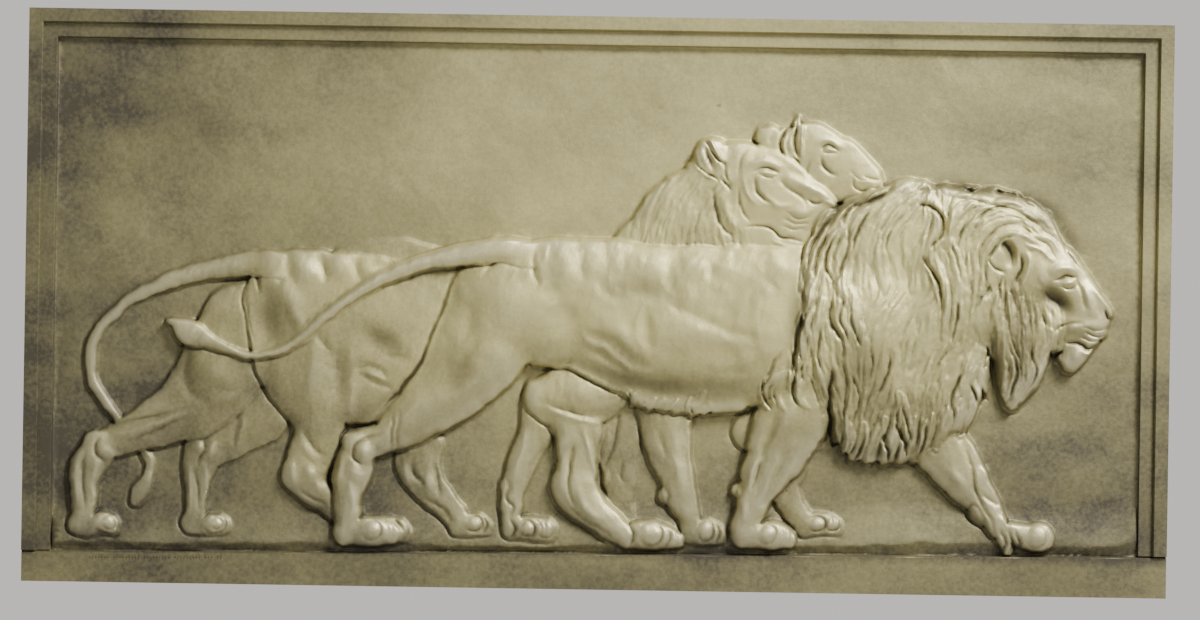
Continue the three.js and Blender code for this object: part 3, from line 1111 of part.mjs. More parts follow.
// The frame's two steps on the sides and top, and the rail
function frameBlocks() {
  const [right, top] = [PANEL_LEFT + PANEL_LENGTH, PANEL_FOOT + PANEL_HEIGHT];
  const [outerRight, outerTop] = [LENGTH / 2, HEIGHT / 2];
  const band = SLAB_THICKNESS + BAND_RISE;
  const rim = band + RIM_STEP;
  const foot = PANEL_FOOT - CORNER_LAP;
  return [
    frameBlock(PANEL_LEFT - BAND_WIDTH - RIM_WIDTH / 2, PANEL_LEFT, foot, outerTop - RIM_WIDTH / 2, band),
    frameBlock(right, right + BAND_WIDTH + RIM_WIDTH / 2, foot, outerTop - RIM_WIDTH / 2, band),
    frameBlock(-outerRight + RIM_WIDTH / 2, outerRight - RIM_WIDTH / 2, top, outerTop - RIM_WIDTH / 2, band),
    frameBlock(-outerRight, -outerRight + RIM_WIDTH, railTop(-outerRight), outerTop, rim),
    frameBlock(outerRight - RIM_WIDTH, outerRight, railTop(outerRight), outerTop, rim),
    frameBlock(-outerRight, outerRight, outerTop - RIM_WIDTH, outerTop, rim),
    railBlock(band + RAIL_STEP),
  ];
}

const wasm = await Module();
wasm.setup();

function solidFrom(geometry) {
  geometry.deleteAttribute('normal');
  geometry.deleteAttribute('uv');
  const merged = mergeVertices(geometry);
  return new wasm.Manifold(new wasm.Mesh({
    numProp: 3,
    vertProperties: new Float32Array(merged.attributes.position.array),
    triVerts: new Uint32Array(merged.index.array),
  }));
}

function geometryFrom(solid) {
  const { vertProperties, triVerts } = solid.getMesh();
  const geometry = new THREE.BufferGeometry();
  geometry.setAttribute('position', new THREE.BufferAttribute(new Float32Array(vertProperties), 3));
  geometry.setIndex(new THREE.BufferAttribute(new Uint32Array(triVerts), 1));
  geometry.computeVertexNormals();
  return geometry;
}

const patinatedBronze = new THREE.MeshStandardMaterial({
  color: '#a9a183',
  roughness: 0.42,
  metalness: 0.85,
});

const cast = frameBlocks().reduce((solid, block) => solid.add(solidFrom(block)), solidFrom(carvedSlab()));
const plaque = new THREE.Mesh(geometryFrom(cast), patinatedBronze);
plaque.name = 'relief_plaque';

const part = new THREE.Group();
part.add(plaque);

export default part;
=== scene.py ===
"""A cast bronze relief plaque: a maned lion walks to the right in front of two lionesses.

The front is carved as one field of heights, the way the figures were modelled on a board: the ground
first, then each animal from the farthest to the nearest. Lengths in the tables are units of the working
drawing, x to the right and y downwards; place() sets them on the plaque in millimetres.
"""
import math

import bpy
import numpy as np
from mathutils import Matrix, Vector


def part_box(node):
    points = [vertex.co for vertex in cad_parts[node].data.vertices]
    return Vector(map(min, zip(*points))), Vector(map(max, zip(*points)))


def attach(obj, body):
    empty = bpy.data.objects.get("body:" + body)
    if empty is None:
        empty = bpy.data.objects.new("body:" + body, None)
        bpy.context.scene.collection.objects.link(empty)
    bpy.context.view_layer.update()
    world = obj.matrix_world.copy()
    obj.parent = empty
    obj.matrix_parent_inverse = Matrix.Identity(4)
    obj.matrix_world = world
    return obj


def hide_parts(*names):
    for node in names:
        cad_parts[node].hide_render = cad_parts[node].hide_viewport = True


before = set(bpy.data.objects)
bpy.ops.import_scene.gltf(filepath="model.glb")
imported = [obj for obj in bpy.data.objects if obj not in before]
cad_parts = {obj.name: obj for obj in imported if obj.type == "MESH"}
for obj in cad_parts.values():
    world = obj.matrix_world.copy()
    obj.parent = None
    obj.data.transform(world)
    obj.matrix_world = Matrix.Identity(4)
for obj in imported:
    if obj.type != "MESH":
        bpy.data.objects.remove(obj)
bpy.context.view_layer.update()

# Sizes of the plaque in millimetres, and the shape of the terrace; the outer ones come from the solid
MM = 0.001
BOX_LOW, BOX_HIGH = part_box("relief_plaque")
LENGTH = (BOX_HIGH.x - BOX_LOW.x) / MM
HEIGHT = (BOX_HIGH.z - BOX_LOW.z) / MM
SLAB_THICKNESS = 8
RELIEF_TOP = (BOX_HIGH.y - BOX_LOW.y) / MM - SLAB_THICKNESS
FIGURES_LENGTH = 838
MARGIN_BEHIND = 12.5
MARGIN_BELOW = 10.5
BAND_WIDTH = 11.5
BAND_RISE = 5
RIM_WIDTH = 12
RIM_STEP = 4
RAIL_HEIGHT = 24.5
RAIL_CLIMB = 8.5
RAIL_STEP = 1.5
TERRACE_DROP = 1
TERRACE_HEIGHT = 11
TERRACE_SWELL = 34
CREST_SHARE = 0.8
BANK_FOOT = 0.2
BANK_CURVE = 1.7
PANEL_LENGTH = LENGTH - 2 * (BAND_WIDTH + RIM_WIDTH)
PANEL_HEIGHT = HEIGHT - RAIL_HEIGHT - BAND_WIDTH - RIM_WIDTH
PANEL_LEFT = -PANEL_LENGTH / 2
PANEL_FOOT = -HEIGHT / 2 + RAIL_HEIGHT

# The working drawing, one unit for about 0.8 mm, drawn a little turned
DRAWING_LENGTH = 1047
DRAWING_TURN = math.radians(0.9)
DRAWING_CENTRE = (600, 305)
DRAWING_LEFT = -529.5
DRAWING_FOOT = 241
DRAWING_DEPTH = 44
UNIT = FIGURES_LENGTH / DRAWING_LENGTH
DEPTH = RELIEF_TOP / DRAWING_DEPTH

# How finely the front is carved, and how the figures meet the ground
PITCH = 0.8
TRIANGLES = 194_000
SHADOW_EDGE = 1.4
LIT_EDGE = 4.5
BLEND = 4 * DEPTH
UNDERLAY_BLUR = 6 * UNIT
HALO = 3.5
TOOL_GROOVE = 0.85
GROOVE_OFFSET = 1.2
GROOVE_WIDTH = 1.1
DEEPEST_CUT = 2

# How the hair is laid: strides along its lines, the taper of a lock, and the profile of a strand
COARSE_STRIDE = 4
LOCK_STRIDE = 1.2
LOCK_SHARE = 0.75
LOCK_OVERLAP = 0.6
LOCK_ROOT = 0.12
LOCK_SPAN = 0.83
STRAND_CREST = 1.8
STRAND_MIDDLE = 0.8
TUFT_WIDTH = 5
TUFT_LENGTH = 26
COAT_EDGE = (0.1, 0.6)
SHAG_EDGE = (0.02, 0.3)
PROUD_LOCK = (0.4, 1.5)

# The unevenness of wax and of the hand: heights or shifts, each with the width of its lumps
SEED = 7
GROUND_LUMPS = [[0.35, 70], [0.09, 14], [0.03, 5]]
FIGURE_LUMPS = [0.11, 12]
LINE_WANDER = [[0.5, 15], [0.22, 5]]
CREST_WANDER = [1.8, 22]

# The grid that the front is carved on
COLUMNS = round(LENGTH / PITCH) + 1
ROWS = round(HEIGHT / PITCH) + 1
XS = np.linspace(-LENGTH / 2, LENGTH / 2, COLUMNS)
ZS = np.linspace(-HEIGHT / 2, HEIGHT / 2, ROWS)
STEP_X = XS[1] - XS[0]
STEP_Z = ZS[1] - ZS[0]

# The masses of each animal. A limb is rows of x, y, half width, height of the crown and, in some, a lift.
FAR_LIONESS_BACK = {
    "back": [[350, 262, 20, 3], [385, 262, 26, 4], [415, 262, 24, 3], [440, 262, 14, 2]],
}

FAR_LIONESS_HEAD = {
    "skull": [[790, 160, 36, 7], [810, 158, 38, 8]],
    "muzzle": [[810, 158, 38, 8], [835, 168, 34, 8], [857, 177, 26, 8], [872, 184, 16, 7]],
    "far_ear": [[770, 138, 15, 6], [780, 145, 16, 6]],
    "near_ear": [[799, 117, 3, 7], [797, 128, 7.5, 9], [795, 145, 10, 9]],
}

FAR_LIONESS_FORELEG = {
    "leg": [[600, 400, 40, 3], [616, 440, 26, 3], [620, 470, 19, 3], [621, 500, 14, 3],
        [624, 520, 14, 3]],
}

FAR_LIONESS_NEAR_HIND_LEG = {
    "thigh": [[262, 415, 30, 5], [235, 428, 28, 6], [208, 448, 24, 6]],
    "cannon": [[205, 452, 23, 6], [199, 472, 18, 6], [197, 492, 14, 6], [195, 512, 12.5, 6]],
    "heel": [[192, 522, 12.5, 6], [200, 524, 11, 6]],
    "toes": [[208, 523, 13, 7], [219, 523, 12.5, 7]],
}

FAR_LIONESS_FAR_HIND_LEG = {
    "cannon": [[420, 445, 26, 5], [419, 466, 24, 6], [433, 490, 18, 6], [448, 506, 15.5, 6],
        [460, 520, 14, 6]],
    "paw": [[461, 524, 13.5, 6], [475, 524, 13.5, 6], [485, 527, 9, 4]],
}

FAR_LIONESS_FAR_FORELEG = {
    "arm": [[752, 432, 20.5, 4], [790, 460, 20, 4], [785, 485, 17, 4], [794, 507, 15, 5],
        [806, 521, 14, 5]],
    "paw": [[806, 524, 13, 5], [820, 523, 14, 6], [834, 526, 11.5, 5]],
}

NEAR_LIONESS_TAIL = {
    "tail": [[252, 262, 14, 6], [225, 267, 12, 6], [195, 272, 11.5, 6], [165, 281, 9.5, 6],
        [135, 296, 8.5, 5], [112, 315, 8, 5], [97, 335, 8, 5], [91, 358, 7.8, 5],
        [93, 380, 7.5, 5], [103, 400, 7, 5], [118, 418, 6.5, 5], [135, 440, 6, 3],
        [149, 462, 6.5, 3], [147, 477, 7, 3]],
    "tuft": [[147, 477, 7, 3], [141, 490, 10, 3], [134, 502, 6, 2]],
}

NEAR_LIONESS_TAIL_ROOT = {
    "root": [[302, 268, 15, 10, 4], [275, 263, 14.5, 8, 3], [252, 262, 14, 6], [222, 268, 12, 6]],
}

NEAR_LIONESS_FAR_HIND_LEG = {
    "thigh": [[245, 325, 46, 9], [226, 362, 46, 9], [196, 399, 37, 8], [160, 420, 27, 8],
        [130, 433, 20, 7], [106, 444, 19, 7]],
    "hock": [[96, 441, 14, 9], [92, 455, 17, 9]],
    "cannon": [[100, 450, 20, 7], [89, 465, 20.5, 8], [85, 490, 17, 8], [84, 510, 15, 8]],
    "heel": [[82, 522, 15, 8], [92, 525, 13, 8]],
    "toes": [[100, 523, 14, 9], [110, 524, 12.5, 8]],
}

NEAR_LIONESS_FORELEG = {
    "arm": [[548, 400, 26, 6], [537, 430, 20, 7], [529, 450, 18, 7], [521, 470, 17, 7],
        [515, 490, 14.5, 7], [513, 505, 13.5, 7], [512, 520, 13, 7]],
    "pasterns": [[508, 485, 9.5, 4], [509.5, 497, 8.5, 3], [508, 508, 10.5, 4]],
    "paw": [[512, 528, 12, 7], [530, 528, 14, 8], [545, 529, 14, 8]],
}

NEAR_LIONESS_FAR_FORELEG = {
    "arm": [[668, 400, 32, 7], [667, 428, 28, 8], [671, 452, 24, 8], [679, 478, 19, 8],
        [681, 496, 18.5, 8], [689, 512, 13.5, 8], [692, 528, 12, 7]],
    "pastern": [[668, 496, 11, 4]],
    "paw": [[692, 534, 11, 7], [705, 531, 14, 8], [717, 533, 12, 7]],
}

NEAR_LIONESS_HEAD = {
    "neck": [[645, 262, 40, 7], [668, 238, 41, 9], [697, 217, 52, 11], [735, 215, 50, 11],
        [800, 250, 50, 10]],
    "skull": [[722, 186, 42, 12], [738, 180, 42, 13], [760, 188, 42, 13]],
    "muzzle": [[760, 188, 42, 13], [785, 200, 36, 13], [805, 208, 28, 12], [818, 208, 22, 10]],
    "nose": [[790, 182, 12, 12], [815, 193, 12, 12], [830, 202, 9, 9]],
    "ear": [[712, 152, 17, 14], [712, 158, 18, 14], [718, 168, 14, 12]],
}

NEAR_LIONESS_BODY = {
    "haunch": [[298, 300, 54, 13], [345, 312, 62, 12], [400, 328, 70, 11], [450, 330, 72, 10]],
    "flank": [[400, 360, 46, 9], [376, 386, 35, 9], [350, 400, 26, 9]],
    "thigh": [[300, 310, 54, 13], [305, 360, 50, 12], [318, 405, 34, 10], [320, 435, 27, 9],
        [310, 458, 25, 9], [304, 473, 24, 9]],
    "cannon": [[304, 473, 24, 9], [315, 490, 18, 8], [330, 503, 14, 7], [350, 520, 13, 7]],
    "paw": [[372, 528, 14, 6], [395, 528, 14, 6], [402, 532, 11, 5]],
}

LION_FAR_HIND_LEG = {
    "thigh": [[600, 378, 40, 10], [582, 392, 40, 11], [562, 396, 32, 11], [546, 396, 23, 10]],
    "knee": [[585, 396, 27, 13]],
    "hock": [[556, 408, 16, 10], [566, 424, 15, 11], [568, 440, 14, 11]],
    "shank": [[575, 400, 34, 11], [579, 430, 26, 11], [578, 460, 22, 11], [574, 485, 24, 12]],
    "cannon": [[574, 487, 25, 12], [589, 506, 21, 12], [611, 525, 16, 12], [626, 535, 14, 11]],
    "paw": [[626, 535, 13, 11], [646, 534, 17, 12], [664, 536, 14, 11], [678, 540, 9, 8]],
}

LION_FAR_FORELEG = {
    "arm": [[925, 425, 34, 12], [943, 448, 31, 12], [966, 478, 25, 12], [980, 497, 19, 11],
        [991, 512, 15, 11], [999, 527, 13, 11]],
    "dewclaw": [[979, 511, 10.5, 5], [983, 517, 9, 5]],
    "claw": [[1003, 538, 9, 10], [1008, 550, 7, 8]],
    "paw": [[1012, 532, 13, 11], [1030, 536, 15, 12], [1040, 537, 16, 13], [1048, 540, 10, 9]],
}

LION_BODY = {
    "trunk": [[503, 304, 55, 20], [550, 302, 66, 23], [580, 303, 65, 24], [602, 306, 70, 25],
        [650, 321, 78, 26], [700, 325, 81, 27], [750, 326, 82, 28], [800, 326, 80, 30],
        [860, 324, 80, 30]],
    "belly": [[628, 391, 9, 9, 3], [650, 397, 13, 9, 3], [675, 401, 14, 9, 3],
        [700, 402, 13, 8, 3], [740, 402, 12, 8, 4]],
    "thigh": [[500, 308, 54, 22], [482, 345, 50, 21], [457, 380, 40, 18], [430, 405, 31, 16],
        [405, 424, 24, 14], [385, 436, 19, 13], [367, 443, 19, 12]],
    "hock": [[358, 445, 17, 14], [366, 452, 15, 14]],
    "cannon": [[360, 450, 19, 12], [353, 472, 22, 13], [349, 495, 16.5, 13],
        [348, 518, 14.5, 13], [346, 533, 14, 12]],
    "paw": [[346, 533, 14, 11], [362, 531, 16, 13], [376, 531, 15.5, 14], [391, 533, 13, 11]],
}

LION_TAIL = {
    "tail": [[565, 259, 14, 4, 11], [535, 254, 15.5, 5, 12], [510, 250, 14, 6, 12],
        [475, 253, 13, 7, 11], [440, 258, 11, 7, 10], [400, 270, 9.5, 6, 10],
        [360, 291, 7.5, 6, 10], [330, 312, 6.8, 6, 10], [300, 339, 6.2, 5, 9],
        [275, 351, 5.6, 5, 8], [250, 354, 5.2, 5, 7.5], [225, 347, 6.5, 5, 6],
        [206, 337, 9.5, 5, 4]],
    "tuft": [[206, 337, 9.5, 5, 4], [191, 332, 15, 6, 3], [178, 324, 8.5, 5, 2],
        [168, 322, 3, 3, 1]],
}

LION_NEAR_FORELEG = {
    "arm": [[808, 380, 38, 20], [792, 420, 39, 20], [780, 448, 34, 19], [768, 470, 27, 17],
        [758, 490, 21, 15], [752, 510, 16.5, 14], [746, 528, 17, 13]],
    "dewclaw": [[742, 489, 11.5, 5]],
    "paw": [[744, 535, 15, 12], [760, 534, 16, 14], [775, 535, 16, 14], [787, 538, 12, 10]],
}

LION_MANE = {
    "shoulder": [[862, 262, 58, 17], [865, 310, 66, 19], [876, 350, 74, 20], [893, 395, 68, 18]],
    "fringe": [[897, 190, 9, 6], [870, 203, 11, 7], [845, 216, 12, 7], [824, 234, 12, 7],
        [812, 256, 10, 7]],
    "hem": [[845, 400, 16, 12], [850, 430, 18, 10], [858, 446, 16, 8], [885, 445, 18, 10],
        [915, 438, 17, 10], [940, 425, 16, 10], [960, 410, 16, 10]],
    "crest": [[862, 262, 60, 17], [900, 238, 58, 17], [950, 240, 57, 18], [995, 246, 58, 17],
        [1018, 256, 52, 14]],
    "throat": [[960, 290, 60, 20], [935, 330, 60, 21], [930, 385, 58, 19]],
}

LION_HEAD = {
    "skull": [[1030, 275, 45, 15], [1045, 276, 40, 15]],
    "muzzle": [[1045, 276, 40, 15], [1063, 290, 33, 14], [1080, 305, 26, 13], [1094, 317, 19, 12]],
    "nose": [[1085, 290, 12, 13], [1103, 308, 9.5, 12], [1108, 315, 7, 10]],
    "lips": [[1060, 325, 22, 11], [1082, 330, 18, 11], [1095, 330, 14, 10]],
    "jaw": [[1040, 325, 30, 10], [1065, 335, 18, 10], [1090, 340, 10, 9]],
    "chin": [[1090, 338, 13, 8], [1077, 350, 16, 9], [1070, 360, 14.5, 8]],
    "beard": [[1010, 320, 36, 13], [1022, 350, 30, 12], [1018, 378, 22, 10], [1012, 398, 11, 7],
        [1010, 408, 3, 4]],
}

# Muscles, folds and features as strokes: how far each stands up, or sinks where that is below 0, its
# half width and its points
NEAR_LIONESS_MUSCLES = [
    [3, 12, [[269, 266], [272, 280]]],
    [3.4, 15, [[303, 261], [308, 276]]],
    [3, 13, [[338, 256], [341, 268]]],
    [1.6, 10, [[368, 268], [378, 282]]],
    [-2, 7, [[287, 255], [289, 275]]],
    [-2, 7, [[322, 258], [325, 280]]],
    [-1.5, 7, [[356, 262], [360, 280]]],
    [-4, 26, [[266, 316], [274, 338]]],
    [3, 12, [[284, 284], [296, 310], [304, 332]]],
    [2.5, 12, [[312, 345], [313, 375], [312, 400]]],
    [-3, 12, [[333, 352], [338, 390]]],
    [-1.6, 6, [[318, 334], [328, 349], [338, 359]]],
    [2.2, 9, [[350, 350], [352, 385], [350, 412]]],
    [-4, 16, [[368, 335], [390, 348]]],
    [-2.2, 7, [[364, 328], [372, 342], [383, 352], [396, 358], [408, 360]]],
    [-1.5, 4.5, [[357, 368], [369, 365], [380, 369], [386, 376]]],
    [-1.5, 4.5, [[362, 374], [374, 382], [386, 386], [396, 394]]],
    [1.6, 4, [[358, 371], [370, 374], [384, 381]]],
    [-2.6, 4.2, [[243, 282], [246, 300], [248, 320], [253, 335], [257, 346]]],
    [-2.5, 3.2, [[255, 268], [258, 280], [259, 292]]],
    [1.4, 5, [[298, 434], [307, 450], [318, 462]]],
    [-1.4, 4, [[304, 430], [313, 446], [324, 457]]],
    [2, 5, [[290, 462], [294, 482]]],
    [2.4, 8, [[308, 468], [312, 478]]],
    [2.2, 7, [[318, 484], [322, 490]]],
    [-1.6, 3, [[300, 490], [312, 498], [325, 505]]],
    [-4.5, 6, [[468, 278], [451, 300], [440, 330], [426, 362], [400, 392], [372, 412]]],
]

NEAR_LIONESS_FAR_LEG_MUSCLES = [
    [2.6, 18, [[205, 365], [228, 378]]],
    [-2.2, 8, [[188, 350], [185, 372], [189, 390], [204, 400]]],
    [2, 10, [[215, 400], [235, 396]]],
    [-1.8, 3, [[108, 426], [140, 419], [175, 412]]],
    [-1.8, 3, [[128, 442], [150, 432], [185, 418]]],
    [1.5, 5, [[112, 436], [150, 425], [190, 412]]],
    [-2.2, 3.2, [[97, 438], [96, 452], [103, 460]]],
    [2, 7, [[104, 450], [112, 456]]],
    [2, 6, [[98, 463], [94, 480]]],
    [1.8, 5, [[78, 452], [75, 475], [76, 505]]],
    [-1.6, 3.2, [[85, 452], [83, 480], [85, 505]]],
    [1.5, 4, [[94, 480], [93, 508]]],
]

FAR_LIONESS_NEAR_LEG_MUSCLES = [
    [-1.2, 4, [[237, 416], [236, 432], [233, 450]]],
    [1, 4, [[243, 414], [241, 430], [238, 448]]],
    [2.2, 6, [[196, 444], [202, 450]]],
    [2, 5, [[212, 443], [210, 454]]],
    [-2, 3, [[204, 440], [203, 452], [197, 464]]],
    [1.6, 4, [[205, 465], [207, 490], [206, 508]]],
    [-1.6, 3, [[196, 470], [198, 490], [198, 508]]],
    [1.6, 4, [[188, 460], [189, 490], [188, 512]]],
]

FAR_LIONESS_FAR_LEG_MUSCLES = [
    [-2.2, 3.5, [[412, 462], [414, 475], [424, 484]]],
    [2, 6, [[404, 466], [408, 480]]],
    [2.4, 7, [[427, 478], [432, 490]]],
    [-1.8, 3, [[433, 462], [437, 480], [440, 495]]],
    [1.8, 5, [[445, 480], [457, 497], [470, 512]]],
    [-1.8, 3.5, [[425, 498], [440, 508], [452, 522]]],
]

NEAR_LIONESS_FORELEG_MUSCLES = [
    [-1.6, 3, [[545, 446], [532, 466], [526, 488]]],
    [1.6, 6, [[524, 430], [519, 460], [512, 480]]],
    [-2, 3, [[507, 478], [510, 488], [506, 498], [513, 508], [509, 519]]],
    [-1.4, 2.6, [[527, 492], [524, 508]]],
]

NEAR_LIONESS_FAR_FORELEG_MUSCLES = [
    [1.8, 8, [[672, 425], [676, 460], [682, 490]]],
    [-1.4, 4, [[658, 430], [665, 455]]],
    [-1.8, 3, [[665, 485], [669, 495], [667, 504]]],
    [1.6, 4, [[688, 430], [692, 470], [696, 500]]],
]

FAR_LIONESS_FORELEG_MUSCLES = [
    [1.5, 5, [[608, 430], [606, 455]]],
    [-2, 3, [[618, 412], [617, 432], [611, 452], [603, 470]]],
    [2, 5, [[605, 474], [606, 484]]],
    [-1.5, 3, [[623, 462], [620, 475], [624, 482]]],
]

LION_MUSCLES = [
    [3.4, 20, [[564, 254], [566, 272]]],
    [2.4, 13, [[592, 256], [593, 270]]],
    [1.2, 12, [[617, 256], [618, 268]]],
    [3.4, 22, [[640, 262], [664, 268]]],
    [1.6, 14, [[684, 264], [700, 268]]],
    [1.4, 14, [[722, 266], [738, 270]]],
    [2.4, 14, [[770, 262], [788, 266]]],
    [-0.8, 9, [[580, 252], [581, 280]]],
    [-0.7, 9, [[604, 252], [603, 275]]],
    [-1.6, 9, [[600, 274], [602, 288], [612, 297], [630, 296]]],
    [-1.8, 9, [[668, 262], [672, 290]]],
    [-1.2, 8, [[708, 262], [712, 280]]],
    [-1.6, 14, [[620, 286], [655, 292]]],
    [-1.6, 14, [[545, 292], [590, 300]]],
    [3, 24, [[672, 326], [696, 336], [724, 346]]],
    [-1.8, 9, [[662, 292], [672, 304], [690, 314], [712, 324], [735, 333], [757, 339]]],
    [-2.4, 10, [[645, 312], [648, 345]]],
    [-1.4, 12, [[700, 350], [740, 356]]],
    [-2.4, 9, [[578, 330], [600, 338], [617, 348], [632, 360], [645, 366]]],
    [0.8, 7, [[585, 341], [603, 349], [618, 360], [632, 371]]],
    [-2, 7, [[588, 351], [606, 358], [622, 369], [636, 379], [652, 383]]],
    [0.8, 9, [[555, 350], [585, 358], [605, 367]]],
    [-3, 16, [[600, 372], [640, 384], [690, 388], [745, 386]]],
    [4, 40, [[512, 290], [522, 330]]],
    [3, 30, [[505, 350], [490, 375]]],
    [-3, 24, [[566, 300], [572, 335]]],
    [-2.4, 14, [[470, 305], [468, 335]]],
    [-2, 16, [[462, 372], [452, 388]]],
    [2, 12, [[440, 402], [470, 387], [500, 372]]],
    [-2, 4.5, [[539, 243], [533, 256], [535, 272], [541, 286]]],
    [1.5, 6, [[547, 247], [545, 262]]],
    [-2, 4, [[497, 258], [490, 266], [484, 274]]],
    [-2, 14, [[786, 300], [782, 345]]],
    [-1, 6, [[763, 279], [769, 284], [777, 291]]],
    [-2.6, 3.2, [[382, 432], [367, 438], [356, 446], [353, 457], [361, 463]]],
    [2, 7, [[363, 450], [369, 454]]],
    [2.2, 8, [[352, 467], [359, 477]]],
    [1.8, 5, [[352, 482], [353, 518]]],
    [-1.6, 3, [[361, 482], [361, 515]]],
    [-1.8, 3, [[394, 414], [392, 436], [389, 454]]],
    [-1.4, 3, [[400, 412], [397, 436], [395, 450]]],
    [1.6, 5, [[347, 440], [341, 462], [339, 485]]],
    [1.5, 10, [[690, 296], [680, 318]]],
    [-1.2, 8, [[640, 300], [628, 330], [640, 352]]],
    [1.4, 10, [[735, 346], [748, 366]]],
    [1.6, 12, [[600, 318], [622, 332], [640, 350]]],
    [-1.3, 9, [[770, 360], [740, 372], [700, 374]]],
    [1.3, 9, [[560, 330], [548, 352], [525, 372]]],
    [-1.3, 7, [[480, 330], [470, 350], [452, 372]]],
    [1.2, 6, [[420, 400], [404, 414], [390, 424]]],
    [1.2, 9, [[765, 290], [756, 310], [760, 330]]],
] + [[0.8, 8, [[x, 300], [x - 10, 330], [x - 4, 360]]] for x in (700, 722, 745, 768)]

LION_FAR_LEG_MUSCLES = [
    [2.4, 18, [[560, 386], [590, 390]]],
    [-2, 6, [[540, 400], [556, 408], [575, 413], [598, 417], [608, 412]]],
    [1.6, 4, [[545, 405], [560, 414], [580, 420], [600, 424]]],
    [2, 4.5, [[581, 422], [587, 442], [594, 464], [602, 484], [616, 503], [630, 524]]],
    [-2.2, 3, [[574, 440], [570, 465], [568, 490], [575, 506]]],
    [-1.6, 3, [[591, 428], [597, 455], [600, 474]]],
    [2, 7, [[561, 440], [562, 470], [558, 490]]],
    [1.8, 5, [[578, 490], [586, 508], [602, 520]]],
    [-1.8, 3, [[570, 508], [584, 519], [600, 528], [612, 537]]],
]

LION_FORELEG_MUSCLES = [
    [2.4, 12, [[790, 402], [780, 430]]],
    [-2.6, 7, [[775, 418], [766, 440], [758, 460]]],
    [2, 5, [[758, 455], [751, 475], [746, 492]]],
    [-2.4, 4, [[765, 455], [758, 472], [751, 488]]],
    [2, 6, [[776, 462], [766, 485], [756, 505]]],
    [-2, 4, [[787, 452], [776, 475], [765, 497]]],
    [1.6, 5, [[800, 452], [786, 478], [771, 503]]],
    [-1.8, 3, [[739, 482], [742, 491], [739, 499]]],
    [2, 6, [[760, 508], [766, 512]]],
    [1.6, 5, [[745, 505], [743, 520]]],
]

LION_FAR_FORELEG_MUSCLES = [
    [-2.6, 3.2, [[963, 440], [970, 465], [975, 488], [983, 505], [991, 520], [993, 532]]],
    [3, 6, [[984, 470], [991, 482], [996, 494]]],
    [-1.8, 3, [[982, 492], [990, 500], [997, 504]]],
    [2.4, 6, [[1002, 518], [1012, 526]]],
    [2, 6, [[950, 468], [966, 492]]],
    [1.8, 4, [[970, 440], [978, 458]]],
    [-1.6, 3, [[968, 508], [973, 505], [982, 511], [984, 522]]],
]


def curled_toe(x, y, size):
    """A toe seen end on: a round knuckle with a fold about it."""
    ring = [[x + size * math.cos(a), y + size * math.sin(a)] for a in np.linspace(-2.6, 2.6, 9)]
    folds = [[[x + 2 + reach * size * math.cos(a), y + reach * size * math.sin(a)]
              for a in np.linspace(-2.3, 0.5, 7)] for reach in (1.6, 2.1)]
    return [[2, size, [[x - 1, y], [x + 1, y]]], [-2.2, 2.4, ring]] + [[-1.3, 1.8, fold] for fold in folds]


def toe_folds(places, top, foot):
    """Folds between toes that stand side by side."""
    middle = (top + foot) / 2
    return [[-2.4, 2.6, [[x - 3, top], [x + 1.5, middle], [x - 2, foot]]] for x in places]


# Toes of each paw, from the left
NEAR_LIONESS_FAR_HIND_TOES = curled_toe(108, 523, 7) + curled_toe(106, 523, 13)
FAR_LIONESS_NEAR_HIND_TOES = curled_toe(216, 523, 6) + curled_toe(213, 523, 12)
LION_HIND_TOES = curled_toe(372, 530, 9) + toe_folds([400], 521, 543)
NEAR_LIONESS_HIND_TOES = toe_folds([398, 406], 516, 540)
FAR_LIONESS_FAR_HIND_TOES = curled_toe(474, 524, 8) + toe_folds([485], 516, 534)
NEAR_LIONESS_FORE_TOES = curled_toe(545, 529, 9) + curled_toe(527, 530, 8) + toe_folds([513], 520, 540)
LION_FAR_HIND_TOES = curled_toe(650, 534, 12) + toe_folds([631, 668], 523, 547)
NEAR_LIONESS_FAR_FORE_TOES = curled_toe(706, 531, 9) + toe_folds([719], 522, 541)
LION_FORE_TOES = curled_toe(766, 534, 9) + toe_folds([790], 524, 546)
FAR_LIONESS_FORE_TOES = curled_toe(817, 524, 8) + curled_toe(833, 524, 8)
LION_FAR_FORE_TOES = toe_folds([1003, 1010, 1017], 530, 554) + curled_toe(1036, 536, 11)

